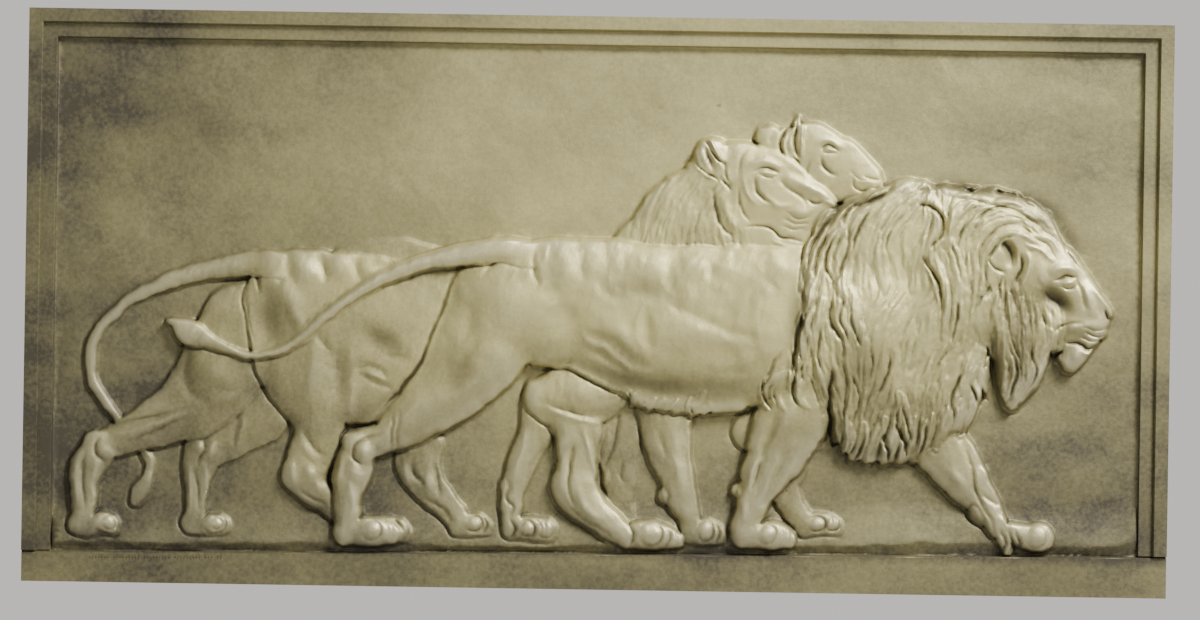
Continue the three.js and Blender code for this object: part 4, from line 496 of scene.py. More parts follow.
LION_FACE = [
    [4, 6, [[1050, 270], [1063, 267], [1076, 271]]],
    [-3.6, 2.6, [[1054, 280], [1063, 277], [1075, 278]]],
    [2.6, 2.6, [[1062, 283], [1071, 283]]],
    [-2.4, 1.8, [[1058, 286], [1068, 289], [1077, 284]]],
    [-10, 11, [[1046, 294], [1062, 306]]],
    [-2.5, 6, [[1040, 285], [1046, 296]]],
    [3, 7, [[1080, 288], [1088, 302], [1092, 314]]],
    [-2.4, 2.6, [[1074, 277], [1080, 292], [1083, 308]]],
    [2.4, 4, [[1092, 290], [1101, 300], [1108, 308]]],
    [-4.5, 2.4, [[1104, 311], [1108, 318], [1115, 318]]],
    [2.6, 8, [[1068, 326], [1084, 326], [1098, 326]]],
    [-2.4, 2, [[1050, 334], [1062, 325], [1082, 322]]],
    [-2, 1.7, [[1082, 326], [1094, 330], [1106, 327]]],
    [-2, 1.7, [[1084, 332], [1096, 337], [1106, 334]]],
    [-2, 1.7, [[1080, 338], [1090, 342], [1102, 340]]],
    [-4.5, 2.6, [[1064, 342], [1078, 344], [1088, 349], [1104, 343]]],
    [2.4, 3, [[1078, 352], [1090, 354], [1098, 350]]],
    [-6, 3.4, [[1053, 353], [1057, 365], [1064, 372], [1074, 376]]],
    [3, 9, [[1074, 352], [1077, 360]]],
    [4.5, 4, [[994, 270], [988, 260], [988, 248], [994, 239], [1006, 234], [1020, 234], [1036, 242]]],
    [-4, 2.4, [[984, 246], [987, 258], [993, 268], [1003, 273]]],
    [-9, 6, [[1000, 243], [1008, 252], [1009, 264]]],
    [3.5, 4, [[1024, 252], [1028, 264], [1024, 280], [1012, 296]]],
    [-4.5, 2.6, [[1018, 256], [1020, 270], [1013, 285]]],
    [-3.6, 2.4, [[1000, 279], [997, 290], [1000, 304]]],
    [2, 8, [[1034, 262], [1042, 276], [1040, 292]]],
    [-2, 3, [[1036, 300], [1042, 318], [1052, 330]]],
    [2.2, 3, [[1034, 228], [1048, 236], [1058, 250]]],
    [-2.2, 2.4, [[1030, 236], [1044, 244], [1052, 256]]],
    [2.2, 3, [[1024, 244], [1038, 250], [1048, 260]]],
    [-2.2, 2.4, [[1060, 236], [1068, 252], [1078, 268]]],
    [2, 3, [[1066, 244], [1074, 258], [1086, 274]]],
]

NEAR_LIONESS_FACE = [
    [2, 5, [[750, 164], [764, 161], [780, 168]]],
    [-2.6, 1.9, [[755, 172], [763, 168], [772, 170], [778, 174]]],
    [1.6, 2, [[762, 173], [771, 173]]],
    [-1.8, 1.4, [[758, 175], [768, 178], [777, 176]]],
    [-3, 3, [[756, 180], [757, 191], [763, 199], [771, 204]]],
    [1.5, 5, [[786, 176], [812, 190], [832, 201]]],
    [-1.6, 3, [[780, 180], [800, 196], [806, 206]]],
    [-2.8, 1.8, [[806, 200], [812, 204], [820, 204]]],
    [1.6, 3, [[822, 200], [834, 206], [838, 212]]],
    [2, 7, [[790, 212], [806, 214]]],
    [-1.5, 1.3, [[786, 213], [795, 219], [806, 218], [812, 212]]],
    [-1.5, 1.3, [[784, 219], [795, 225], [808, 223]]],
    [-1.3, 1.3, [[782, 225], [793, 230], [804, 229]]],
    [-2.6, 1.8, [[745, 228], [758, 227], [770, 229], [779, 236], [790, 238], [803, 243]]],
    [1.6, 3, [[770, 240], [785, 246], [800, 249]]],
    [3.5, 3, [[697, 143], [695, 153], [698, 166], [706, 175], [716, 178]]],
    [3, 2.6, [[703, 137], [712, 143], [720, 158], [727, 172], [729, 183]]],
    [-5, 5, [[706, 148], [710, 158], [714, 168]]],
    [-4.5, 2, [[703, 138], [710, 148], [717, 158], [724, 164], [727, 174], [730, 186]]],
    [-4, 1.8, [[694, 152], [697, 164], [704, 173], [712, 175], [719, 180]]],
    [1.4, 3, [[742, 176], [746, 192], [756, 206]]],
    [-1.2, 3, [[748, 150], [740, 160], [738, 174]]],
    [1.5, 5, [[762, 196], [778, 206], [790, 206]]],
    [-2.5, 2.2, [[722, 178], [730, 190]]],
    [-2.6, 3, [[712, 190], [715, 210], [722, 228], [733, 238]]],
    [2, 5, [[724, 196], [727, 214], [738, 230]]],
    [-1.8, 2, [[738, 190], [740, 208], [748, 222]]],
]

FAR_LIONESS_FACE = [
    [1.8, 4, [[818, 142], [830, 140], [842, 146]]],
    [-2.4, 1.8, [[822, 149], [828, 145], [838, 149]]],
    [1.4, 1.8, [[826, 149], [833, 149]]],
    [-1.5, 1.4, [[823, 152], [830, 153], [837, 151]]],
    [-2.6, 3, [[820, 157], [824, 168], [835, 176]]],
    [-2, 1.6, [[866, 176], [872, 179], [879, 179]]],
    [-2.2, 1.6, [[852, 178], [853, 187], [860, 190], [872, 190], [882, 187]]],
    [1.5, 5, [[862, 180], [874, 184]]],
    [-1.2, 1.2, [[850, 172], [858, 178], [868, 180]]],
    [3, 2.6, [[800, 116], [803, 124], [802, 140], [800, 156]]],
    [-5, 2.6, [[799, 116], [796, 128], [794, 142], [797, 156]]],
    [2.4, 2.2, [[790, 122], [787, 134], [784, 146], [786, 158]]],
    [-4, 2.2, [[790, 121], [783, 134], [780, 146], [782, 156]]],
    [-2.4, 1.8, [[793, 158], [798, 164]]],
    [-1.6, 4, [[774, 132], [770, 142]]],
    [-1.6, 2, [[808, 160], [806, 176], [812, 190]]],
]

# Locks of hair by half width, rise and points from root to tip. The gaps between them are strokes.
MANE_LOCKS = [
    [7, 4, [[846, 420], [848, 440], [842, 462]]],
    [6, 4, [[836, 420], [832, 440], [814, 452]]],
    [7, 4, [[862, 425], [860, 446], [850, 466]]],
    [7, 5, [[884, 420], [872, 442], [866, 470]]],
    [7, 4, [[895, 425], [890, 446], [884, 466]]],
    [8, 4, [[912, 420], [906, 442], [902, 463]]],
    [7, 4, [[930, 415], [924, 436], [920, 456]]],
    [7, 4, [[946, 410], [942, 430], [934, 450]]],
    [7, 4, [[962, 400], [960, 418], [952, 438]]],
    [8, 4, [[975, 385], [976, 408], [966, 430]]],
    [8, 3, [[835, 300], [842, 330], [850, 360], [855, 390], [850, 420], [846, 448]]],
    [7, 3, [[898, 395], [905, 422], [904, 446]]],
    [8, 3.5, [[980, 345], [972, 365], [965, 385], [968, 405]]],
    [8, 3.5, [[985, 300], [978, 320], [985, 345], [982, 372], [984, 400]]],
    [7, 4, [[822, 300], [818, 330], [820, 360], [828, 388], [838, 418], [836, 446]]],
    [6, 5, [[812, 285], [806, 318], [802, 350], [796, 378], [799, 404]]],
    [6, 4, [[806, 300], [799, 330], [794, 358], [791, 385], [796, 400]]],
    [6, 4, [[818, 262], [808, 292], [806, 322], [812, 352]]],
    [8, 3.5, [[850, 290], [854, 325], [862, 350], [862, 385], [856, 412]]],
    [8, 4, [[832, 214], [820, 232], [812, 255], [806, 280]]],
    [8, 4, [[848, 209], [836, 226], [826, 246], [820, 272]]],
    [8, 3.5, [[866, 205], [852, 228], [842, 254], [838, 282], [844, 305]]],
    [9, 3, [[884, 194], [868, 208], [856, 230], [848, 256], [846, 285]]],
    [9, 2.5, [[905, 190], [888, 204], [872, 226], [864, 252], [862, 285]]],
    [9, 2.5, [[922, 196], [904, 212], [888, 232], [880, 258], [884, 290]]],
    [9, 3.5, [[928, 198], [936, 212], [938, 228], [930, 244], [915, 262], [912, 290]]],
    [8, 3.5, [[922, 242], [930, 258], [938, 280], [942, 305], [944, 330]]],
    [8, 3, [[946, 240], [954, 255], [960, 275], [962, 300], [956, 325], [952, 345]]],
    [7, 3, [[1066, 262], [1060, 240], [1050, 222], [1036, 208], [1018, 198], [995, 193]]],
    [7, 3, [[1055, 228], [1045, 211], [1020, 200], [990, 197], [965, 205], [950, 222],
        [944, 246]]],
    [7, 3, [[1050, 240], [1042, 222], [1020, 209], [995, 208], [975, 218], [963, 238],
        [960, 265]]],
    [7, 3, [[1045, 247], [1035, 229], [1015, 219], [995, 221], [980, 232], [972, 252],
        [970, 280]]],
    [6, 3, [[1040, 245], [1026, 236], [1008, 232], [994, 238], [985, 252], [984, 275],
        [978, 300]]],
]

MANE_GAPS = [
    [-6, 3.2, [[920, 204], [932, 208], [941, 219], [941, 234], [931, 248]]],
    [-5, 2.6, [[922, 257], [931, 270], [938, 288], [939, 316]]],
    [-3, 2.2, [[950, 246], [956, 260], [959, 280]]],
    [-4, 2.4, [[956, 303], [955, 320], [951, 340]]],
    [-4, 2.6, [[849, 225], [847, 252], [840, 269], [829, 287]]],
    [-7, 3.2, [[812, 303], [798, 328], [794, 352], [790, 374]]],
    [-4, 2.4, [[829, 303], [829, 322], [840, 344], [842, 358]]],
    [-3, 2.2, [[848, 307], [851, 330], [860, 346]]],
    [-9, 3.4, [[831, 372], [829, 400], [832, 432], [836, 455]]],
    [-8, 3.6, [[976, 316], [986, 332], [994, 347], [992, 369], [998, 402]]],
    [-4, 2.2, [[968, 384], [973, 394], [977, 405]]],
    [-3, 2, [[900, 404], [906, 420], [908, 440]]],
    [-3, 2, [[880, 420], [876, 440], [870, 458]]],
    [-3, 2.4, [[868, 212], [856, 232], [850, 250]]],
    [-2.5, 2, [[905, 212], [892, 228], [886, 246], [890, 266]]],
    [-2.5, 2, [[848, 372], [858, 395], [852, 425]]],
    [-3, 2, [[842, 300], [838, 320], [846, 345]]],
    [-6, 3, [[893, 184], [880, 198], [862, 205], [850, 214]]],
    [-5, 2.6, [[858, 204], [846, 212], [842, 222]]],
    [-5, 2.6, [[838, 212], [824, 226], [812, 244], [805, 264]]],
    [-4, 2.2, [[826, 236], [816, 256], [813, 276]]],
    [-4, 2.2, [[838, 232], [828, 250], [826, 268], [834, 286]]],
    [-6, 3, [[895, 424], [902, 438], [906, 454]]],
    [-5, 2.6, [[882, 436], [888, 448], [888, 462]]],
    [-5, 2.6, [[862, 436], [860, 450], [854, 464]]],
    [-4, 2.4, [[925, 425], [924, 440], [918, 454]]],
    [-4, 2.2, [[820, 330], [816, 352], [822, 374]]],
    [-4, 2.2, [[806, 336], [804, 356], [798, 376]]],
    [-3, 2, [[868, 345], [872, 368], [866, 392]]],
    [-3, 2, [[890, 350], [886, 374], [876, 396]]],
    [-3, 2, [[948, 350], [934, 368], [926, 390]]],
    [-4, 2.4, [[962, 372], [952, 392], [950, 412]]],
    [-3, 2, [[975, 212], [962, 228], [957, 246]]],
    [-3, 2, [[1010, 205], [990, 209], [974, 222]]],
    [-3.4, 3, [[916, 190], [950, 187], [985, 193], [1020, 202], [1044, 212]]],
    [-2.6, 2.4, [[946, 196], [980, 202], [1016, 212], [1042, 226]]],
    [-3, 2.4, [[1052, 216], [1064, 236], [1076, 258]]],
    [-3.5, 2.2, [[1052, 212], [1036, 202], [1014, 196], [994, 198]]],
]

BEARD_LOCKS = [
    [7, 3, [[1048, 318], [1050, 340], [1044, 366], [1032, 386], [1020, 402]]],
    [6, 3, [[1036, 306], [1040, 330], [1038, 356], [1028, 382], [1016, 404]]],
    [6, 3.5, [[1020, 300], [1024, 326], [1024, 352], [1024, 378], [1012, 404]]],
    [6, 3.5, [[1008, 296], [1010, 322], [1010, 350], [1014, 376], [1008, 402]]],
    [5, 3, [[998, 290], [996, 310], [1000, 335], [1000, 362], [1005, 390]]],
]

BEARD_GAPS = [
    [-4, 2.2, [[1009, 345], [1015, 371], [1007, 404]]],
    [-3, 2, [[1028, 349], [1034, 373], [1020, 406]]],
    [-2.5, 1.8, [[1005, 315], [1012, 340], [1018, 360]]],
]

# The shaggy fringe under the belly and the tuft behind the elbow
BELLY_LOCKS = []
for number in range(11):
    root_x = 630 + 8.6 * number + 4 * math.sin(4 * number)
    root_y = 392 + 8 * math.sin(0.35 * number)
    middle = [root_x - 8 + 3 * math.sin(3 * number), root_y + 9]
    tip = [root_x - 12 + 5 * math.sin(2 * number), root_y + 16 + 4 * math.sin(7 * number)]
    half_width = 2.6 + 1.2 * math.sin(5 * number)
    rise = 1.7 + 0.9 * math.sin(3 * number)
    BELLY_LOCKS.append([half_width, rise, [[root_x, root_y], middle, tip]])
BELLY_GAPS = [
    [-4, 1.8, [[637, 402], [642, 409], [648, 410]]],
    [-4, 1.8, [[658, 410], [666, 417], [672, 415]]],
    [-3, 1.6, [[690, 408], [694, 416]]],
    [-3, 1.6, [[628, 392], [632, 401]]],
]
ELBOW_LOCKS = [
    [6, 3.4, [[786, 374], [768, 381], [762, 394], [768, 408]]],
    [6, 2.6, [[798, 374], [780, 384], [776, 398], [783, 409]]],
    [5, 3, [[812, 372], [802, 384], [799, 398], [806, 408]]],
]
ELBOW_GAPS = [
    [-5, 1.8, [[762, 381], [764, 395], [771, 408]]],
    [-5, 2, [[790, 352], [795, 372], [792, 390], [797, 404]]],
    [-2, 1.6, [[778, 384], [774, 394], [777, 406]]],
]

# Lines that the hair follows
MANE_FLOW = [points for _, _, points in MANE_LOCKS] + [
    [[880, 350], [878, 380], [868, 410], [862, 440], [856, 455]],
    [[900, 350], [893, 380], [882, 405], [872, 430]],
    [[930, 350], [925, 375], [915, 400], [912, 430]],
    [[960, 330], [955, 355], [945, 380], [942, 405], [938, 425]],
    [[885, 290], [884, 325], [882, 355], [876, 385]],
    [[912, 290], [908, 325], [905, 355], [896, 390]],
    [[938, 305], [936, 335], [930, 362], [922, 392]],
    [[860, 300], [850, 320], [846, 340]],
    [[890, 300], [875, 325], [868, 350]],
    [[915, 300], [900, 325], [888, 350]],
    [[1000, 275], [998, 300], [1003, 325], [1005, 350], [1012, 375], [1006, 405]],
    [[1075, 275], [1068, 255], [1058, 238]],
    [[935, 302], [905, 306], [875, 318], [858, 338]],
    [[945, 345], [920, 360], [900, 385]],
    [[900, 183], [875, 197], [850, 208], [830, 220], [815, 238], [806, 258], [802, 280]],
    [[882, 202], [860, 214], [840, 234], [828, 258], [830, 284]],
    [[900, 202], [885, 222], [880, 245], [886, 266]],
    [[915, 208], [898, 224], [890, 246], [896, 270]],
    [[820, 395], [830, 430], [822, 452]],
    [[868, 425], [862, 445], [852, 466]],
    [[925, 415], [920, 440], [910, 462]],
    [[950, 400], [948, 425], [938, 450]],
]
BELLY_FLOW = [[[x + 7, 396], [x, 408], [x - 5, 424]] for x in (632, 648, 664, 680, 696)]
BEARD_FLOW = [points for _, _, points in BEARD_LOCKS] + [
    [[1012, 290], [1018, 320], [1020, 350], [1018, 385]],
]
NECK_FLOW = [
    [[688, 162], [668, 183], [654, 205], [647, 228]],
    [[702, 178], [684, 198], [672, 218], [668, 240]],
    [[712, 190], [700, 205], [692, 222], [695, 242]],
    [[722, 205], [716, 220], [718, 235], [728, 247]],
]

TAIL_FLOW = [
    [[250, 254], [243, 266], [232, 276]],
    [[215, 258], [207, 270], [198, 281]],
    [[180, 268], [172, 278], [165, 288]],
    [[480, 246], [468, 254], [458, 262]],
    [[430, 252], [418, 262], [410, 270]],
    [[200, 322], [190, 332], [184, 342]],
]

FUR_FLOW = [
    [[560, 262], [540, 300], [505, 350], [450, 400], [400, 425]],
    [[620, 265], [610, 310], [590, 350]],
    [[700, 265], [680, 310], [665, 360], [650, 390]],
    [[780, 265], [765, 310], [755, 360], [745, 395]],
    [[360, 440], [352, 480], [348, 530]],
    [[575, 400], [580, 450], [580, 490], [615, 525]],
    [[800, 400], [778, 450], [755, 505], [748, 530]],
    [[925, 440], [960, 480], [990, 520]],
    [[670, 420], [675, 460], [685, 500]],
    [[540, 410], [522, 460], [512, 510]],
    [[250, 300], [230, 360], [180, 410], [110, 440]],
    [[95, 450], [86, 490], [84, 525]],
    [[260, 420], [215, 440], [198, 480], [196, 520]],
    [[320, 275], [310, 330], [318, 400], [308, 460], [330, 505]],
    [[400, 290], [380, 340], [360, 400]],
    [[430, 300], [440, 350]],
    [[415, 450], [430, 490], [455, 520]],
    [[785, 180], [770, 200], [745, 220]],
    [[760, 165], [740, 185], [725, 200]],
    [[830, 150], [815, 170], [800, 180]],
    [[1060, 262], [1045, 285], [1035, 310]],
    [[1090, 300], [1070, 315], [1050, 325]],
]

# Each coat: the lines it follows, how far they reach, and strands by height, width and length
MANE_COAT = [MANE_FLOW, 8, [[0.7, 7, 64], [0.62, 3.6, 46], [0.6, 1.9, 30]]]
FUR_COAT = [FUR_FLOW, 26, [[0.10, 2.2, 11], [0.07, 6, 20]]]
BEARD_COAT = [BEARD_FLOW, 8, [[0.6, 4.5, 50], [0.5, 2.6, 36], [0.45, 1.7, 26]]]
TAIL_COAT = [TAIL_FLOW, 12, [[0.16, 2.4, 9]]]
NECK_COAT = [NECK_FLOW, 12, [[0.4, 3.2, 30], [0.28, 1.9, 22]]]

# Dark patches of patina and painted shade, under the brow, in the mane and along the belly: how dark each
# is, its half width and the line it follows
PATINA_AND_SHADE_PATCHES = [
    [0.8, 10, [[905, 190], [950, 187], [1000, 193], [1045, 206], [1066, 230], [1080, 256]]],
    [0.6, 14, [[1022, 212], [1046, 224]]],
    [0.8, 12, [[1044, 294], [1066, 308]]],
    [0.55, 20, [[1016, 300], [1022, 340], [1018, 385]]],
    [0.7, 10, [[990, 335], [997, 365], [1000, 398]]],
    [0.7, 7, [[1000, 240], [1010, 256]]],
    [0.4, 5, [[1103, 312], [1111, 320]]],
    [0.35, 10, [[1060, 332], [1095, 336]]],
    [0.6, 11, [[806, 250], [800, 300], [797, 345], [794, 372]]],
    [0.7, 9, [[812, 240], [838, 209], [872, 198], [896, 184]]],
    [0.5, 13, [[832, 375], [834, 420], [850, 450], [905, 456]]],
    [0.4, 26, [[850, 330], [880, 400], [940, 410]]],
    [0.3, 12, [[920, 262], [936, 300]]],
    [0.5, 15, [[585, 368], [640, 383], [700, 388], [745, 388]]],
    [0.35, 24, [[800, 415], [770, 455]]],
    [0.3, 15, [[585, 338], [642, 362]]],
    [0.3, 24, [[470, 350], [452, 385]]],
    [0.4, 16, [[366, 330], [398, 352]]],
    [0.45, 13, [[272, 296], [276, 335]]],
    [0.3, 12, [[612, 286], [660, 292]]],
    [0.4, 9, [[708, 190], [722, 220]]],
    [0.3, 16, [[186, 350], [190, 392]]],
]

# The animals from the farthest to the nearest. A step stands a layer off what is behind it, and a lift
# raises its masses. Where a layer has them: strokes, locks and coats of hair; a shag that ruffles the
# outline along some lines, by how far they reach and how much; fades, from where it has sunk in to where
# it stands free; its share of fur; an underlay, how softly what is behind it shows through; and a calm
# place of the hair, by x, y, reach and the share that it loses there.
LAYERS = [
    {"step": 1.5, "lift": 1, "limbs": FAR_LIONESS_BACK},
    {"step": 2.5, "lift": 2, "limbs": FAR_LIONESS_HEAD, "strokes": FAR_LIONESS_FACE},
    {"step": 1, "lift": 0.5, "limbs": FAR_LIONESS_FORELEG, "strokes": FAR_LIONESS_FORELEG_MUSCLES},
    {"step": 1.5, "lift": 0.5, "limbs": FAR_LIONESS_FAR_FORELEG, "strokes": FAR_LIONESS_FORE_TOES},
    {"step": 2, "lift": 1, "limbs": FAR_LIONESS_NEAR_HIND_LEG,
     "strokes": FAR_LIONESS_NEAR_LEG_MUSCLES + FAR_LIONESS_NEAR_HIND_TOES},
    {"step": 2, "lift": 1, "limbs": FAR_LIONESS_FAR_HIND_LEG,
     "strokes": FAR_LIONESS_FAR_LEG_MUSCLES + FAR_LIONESS_FAR_HIND_TOES},
    {"step": 1.5, "lift": 1, "limbs": NEAR_LIONESS_TAIL, "coats": [TAIL_COAT]},
    {"step": 2, "lift": 2, "limbs": NEAR_LIONESS_FAR_HIND_LEG,
     "strokes": NEAR_LIONESS_FAR_LEG_MUSCLES + NEAR_LIONESS_FAR_HIND_TOES},
    {"step": 2, "lift": 2, "limbs": NEAR_LIONESS_FORELEG,
     "strokes": NEAR_LIONESS_FORELEG_MUSCLES + NEAR_LIONESS_FORE_TOES},
    {"step": 2, "lift": 2, "limbs": NEAR_LIONESS_FAR_FORELEG,
     "strokes": NEAR_LIONESS_FAR_FORELEG_MUSCLES + NEAR_LIONESS_FAR_FORE_TOES},
    {"step": 3, "lift": 3, "limbs": NEAR_LIONESS_HEAD, "strokes": NEAR_LIONESS_FACE,
     "coats": [NECK_COAT]},
    {"step": 3, "lift": 3, "limbs": NEAR_LIONESS_BODY,
     "strokes": NEAR_LIONESS_MUSCLES + NEAR_LIONESS_HIND_TOES},
    {"step": 1, "lift": 1, "limbs": NEAR_LIONESS_TAIL_ROOT,
     "fades": [[[296, 266], [270, 263]], [[224, 268], [240, 264]]]},
    {"step": 3, "lift": 4, "limbs": LION_FAR_HIND_LEG,
     "strokes": LION_FAR_LEG_MUSCLES + LION_FAR_HIND_TOES},
    {"step": 3, "lift": 4, "limbs": LION_FAR_FORELEG,
     "strokes": LION_FAR_FORELEG_MUSCLES + LION_FAR_FORE_TOES},
    {"step": 4, "lift": 5, "limbs": LION_BODY, "shag": [BELLY_FLOW, 7, 2.4], "locks": BELLY_LOCKS,
     "strokes": LION_MUSCLES + LION_HIND_TOES + BELLY_GAPS},
    {"step": 1, "lift": 5, "limbs": LION_TAIL, "fades": [[[556, 257], [505, 251]]], "coats": [TAIL_COAT]},
    {"step": 2, "lift": 6, "limbs": LION_NEAR_FORELEG, "locks": ELBOW_LOCKS,
     "strokes": LION_FORELEG_MUSCLES + LION_FORE_TOES + ELBOW_GAPS},
    {"step": 3, "lift": 7, "limbs": LION_MANE, "shag": [MANE_FLOW, 8, 3.0], "locks": MANE_LOCKS,
     "strokes": MANE_GAPS, "coats": [MANE_COAT], "fur": 0.0, "underlay": 24 * UNIT,
     "calm": [888, 290, 64, 0.5]},
    {"step": 2, "lift": 8, "limbs": LION_HEAD, "shag": [BEARD_FLOW, 8, 1.6], "locks": BEARD_LOCKS,
     "strokes": LION_FACE + BEARD_GAPS, "coats": [BEARD_COAT]},
]


def place(x, y):
    """A point of the drawing on the plaque: along it and up it, in millimetres from its middle."""
    right = np.asarray(x, float) - DRAWING_CENTRE[0]
    down = np.asarray(y, float) - DRAWING_CENTRE[1]
    along = right * math.cos(DRAWING_TURN) + down * math.sin(DRAWING_TURN)
    below = down * math.cos(DRAWING_TURN) - right * math.sin(DRAWING_TURN)
    across = PANEL_LEFT + MARGIN_BEHIND + (along - DRAWING_LEFT) * UNIT
    up = PANEL_FOOT + MARGIN_BELOW + (DRAWING_FOOT - below) * UNIT
    return across, up


def smooth_path(rows, stride):
    """A smooth line through rows of x, y and further numbers, stepped at about the stride."""
    rows = np.array(rows, float)
    path = np.column_stack([*place(rows[:, 0], rows[:, 1]), rows[:, 2:]])
    if len(path) == 1:
        return path
    ends = np.vstack([2 * path[0] - path[1], path, 2 * path[-1] - path[-2]])
    pieces = []
    for a, b, c, d in zip(ends, ends[1:], ends[2:], ends[3:]):
        count = int(np.hypot(*(c - b)[:2]) / stride) + 2
        t = np.linspace(0, 1, count)[:-1, None]
        bend = (2 * a - 5 * b + 4 * c - d) * t ** 2 + (3 * b - a - 3 * c + d) * t ** 3
        pieces.append(0.5 * (2 * b + (c - a) * t + bend))
    return np.vstack(pieces + [path[-1:]])


def patch(x, z, reach):
    """The part of the grid within reach of a point, and the squared distance of each of its nodes."""
    left = max(0, math.ceil((x - reach - XS[0]) / STEP_X))
    right = min(COLUMNS, math.floor((x + reach - XS[0]) / STEP_X) + 1)
    low = max(0, math.ceil((z - reach - ZS[0]) / STEP_Z))
    high = min(ROWS, math.floor((z + reach - ZS[0]) / STEP_Z) + 1)
    near = (slice(low, max(low, high)), slice(left, max(left, right)))
    return near, (XS[near[1]][None, :] - x) ** 2 + (ZS[near[0]][:, None] - z) ** 2


def smoothstep(value, low, high):
    """0 below one value and 1 above the other, with a soft start and end between them."""
    t = np.clip((value - low) / (high - low), 0, 1)
    return t * t * (3 - 2 * t)


def smooth_maximum(a, b, depth):
    """The higher of two surfaces, with the valley between them filled like soft clay."""
    both = np.isfinite(a) & np.isfinite(b)
    gap = np.full(a.shape, depth, float)
    gap[both] = np.abs(a[both] - b[both])
    return np.maximum(a, b) + np.maximum(depth - gap, 0) ** 2 / (4 * depth)


def blurred(field, reach):
    """Three running means along each side of the grid."""
    radius = max(1, round(reach / PITCH))
    width = 2 * radius + 1
    out = field.astype(float)
    for axis in (0, 1):
        for _ in range(3):
            pad = [(0, 0), (0, 0)]
            pad[axis] = (radius + 1, radius)
            total = np.cumsum(np.pad(out, pad, mode="edge"), axis=axis)
            count = out.shape[axis]
            upper = np.take(total, range(width, width + count), axis=axis)
            lower = np.take(total, range(count), axis=axis)
            out = (upper - lower) / width
    return out


def mass_of(limbs, lift):
    """The height of a figure's masses, and how far inside its outline each node lies."""
    height = np.full((ROWS, COLUMNS), -np.inf)
    inside = np.full((ROWS, COLUMNS), -np.inf)
    for rows in limbs.values():
        rows = [row if len(row) == 5 else row + [0] for row in rows]
        limb = np.full((ROWS, COLUMNS), -np.inf)
        for x, z, half, crown, own_lift in smooth_path(rows, PITCH):
            half *= UNIT
            near, squared = patch(x, z, half + HALO)
            distance = np.sqrt(squared)
            share = np.minimum(distance / half, 1)
            dome = (lift + own_lift + crown * np.sqrt(1 - share ** 2)) * DEPTH
            dome[distance >= half] = -np.inf
            np.maximum(limb[near], dome, out=limb[near])
            np.maximum(inside[near], half - distance, out=inside[near])
        height = smooth_maximum(height, limb, BLEND)
    return height, inside


def stroke_field(strokes):
    """Muscles stand up and folds sink: each stroke fades at both ends, the strongest wins a crossing."""
    raised = np.zeros((ROWS, COLUMNS))
    sunk = np.zeros((ROWS, COLUMNS))
    for rise, half, points in strokes:
        width = half * UNIT
        path = smooth_path(points, min(max(width / 4, PITCH), COARSE_STRIDE))
        field = raised if rise > 0 else sunk
        for k, (x, z) in enumerate(path):
            fade = math.sqrt(math.sin(math.pi * (k + 1) / (len(path) + 1)))
            near, squared = patch(x, z, 2 * width)
            swell = abs(rise) * DEPTH * fade * np.exp(-2 * squared / width ** 2)
            np.maximum(field[near], swell, out=field[near])
    return raised - sunk


def lay_lock(relief, bed, path, half, rise):
    """One lock of hair laid over those before it: a tapered roll from root to tip, in millimetres."""
    reach = half + PITCH
    corner, _ = patch(path[:, 0].mean(), path[:, 1].mean(), np.ptp(path, axis=0).max() / 2 + reach)
    across, up = XS[corner[1]], ZS[corner[0]]
    lock = np.zeros((len(up), len(across)))
    for k, (x, z) in enumerate(path):
        taper = math.sqrt(math.sin(math.pi * (LOCK_ROOT + LOCK_SPAN * k / (len(path) - 1))))
        width = max(half * taper, PITCH)
        left, right = np.searchsorted(across, [x - width, x + width])
        low, high = np.searchsorted(up, [z - width, z + width])
        squared = (across[None, left:right] - x) ** 2 + (up[low:high, None] - z) ** 2
        roll = rise * taper * np.sqrt(np.maximum(1 - squared / width ** 2, 0))
        np.maximum(lock[low:high, left:right], roll, out=lock[low:high, left:right])
    here = relief[corner]
    on = lock > 0
    under = np.maximum(bed[corner][on], here[on] - LOCK_OVERLAP * rise)
    here[on] = np.maximum(here[on], under + lock[on])


def lay_locks(relief, locks, bed):
    """Locks drawn one by one, each by its half width, its rise and its points from root to tip."""
    for half, rise, points in locks:
        path = smooth_path(points, LOCK_STRIDE)
        lay_lock(relief, bed, path, half * UNIT, LOCK_SHARE * rise * DEPTH)


def flow(guides, rows, columns, spread):
    """The direction of the hair over part of the grid, and how near each node lies to a guide.

    It is worked out at every third node, and hair that no guide reaches hangs straight down.
    """
    coarse = 3
    faintest = 1e-9
    across, up = np.meshgrid(XS[columns][::coarse], ZS[rows][::coarse])
    flow_x = np.zeros(across.shape)
    flow_z = np.full(across.shape, -faintest)
    nearness = np.zeros(across.shape)
    for points in guides:
        path = smooth_path(points, COARSE_STRIDE)
        middles = (path[1:] + path[:-1]) / 2
        steps = np.diff(path, axis=0)
        steps /= np.linalg.norm(steps, axis=1, keepdims=True)
        for middle, step in zip(middles, steps):
            squared = (across - middle[0]) ** 2 + (up - middle[1]) ** 2
            weight = np.exp(-squared / (2 * spread ** 2))
            flow_x += weight * step[0]
            flow_z += weight * step[1]
            np.maximum(nearness, weight, out=nearness)
    strength = np.hypot(flow_x, flow_z)
    shape = (rows.stop - rows.start, columns.stop - columns.start)

    def spread_out(field):
        wide = np.repeat(np.repeat(field, coarse, axis=0), coarse, axis=1)
        return wide[:shape[0], :shape[1]]
    return spread_out(flow_x / strength), spread_out(flow_z / strength), spread_out(nearness)


def soft_noise(rng, shape, grain):
    """Random lumps about one grain across, of even strength."""
    lumps = blurred(rng.standard_normal(shape), grain / 4)
    return lumps / lumps.std()


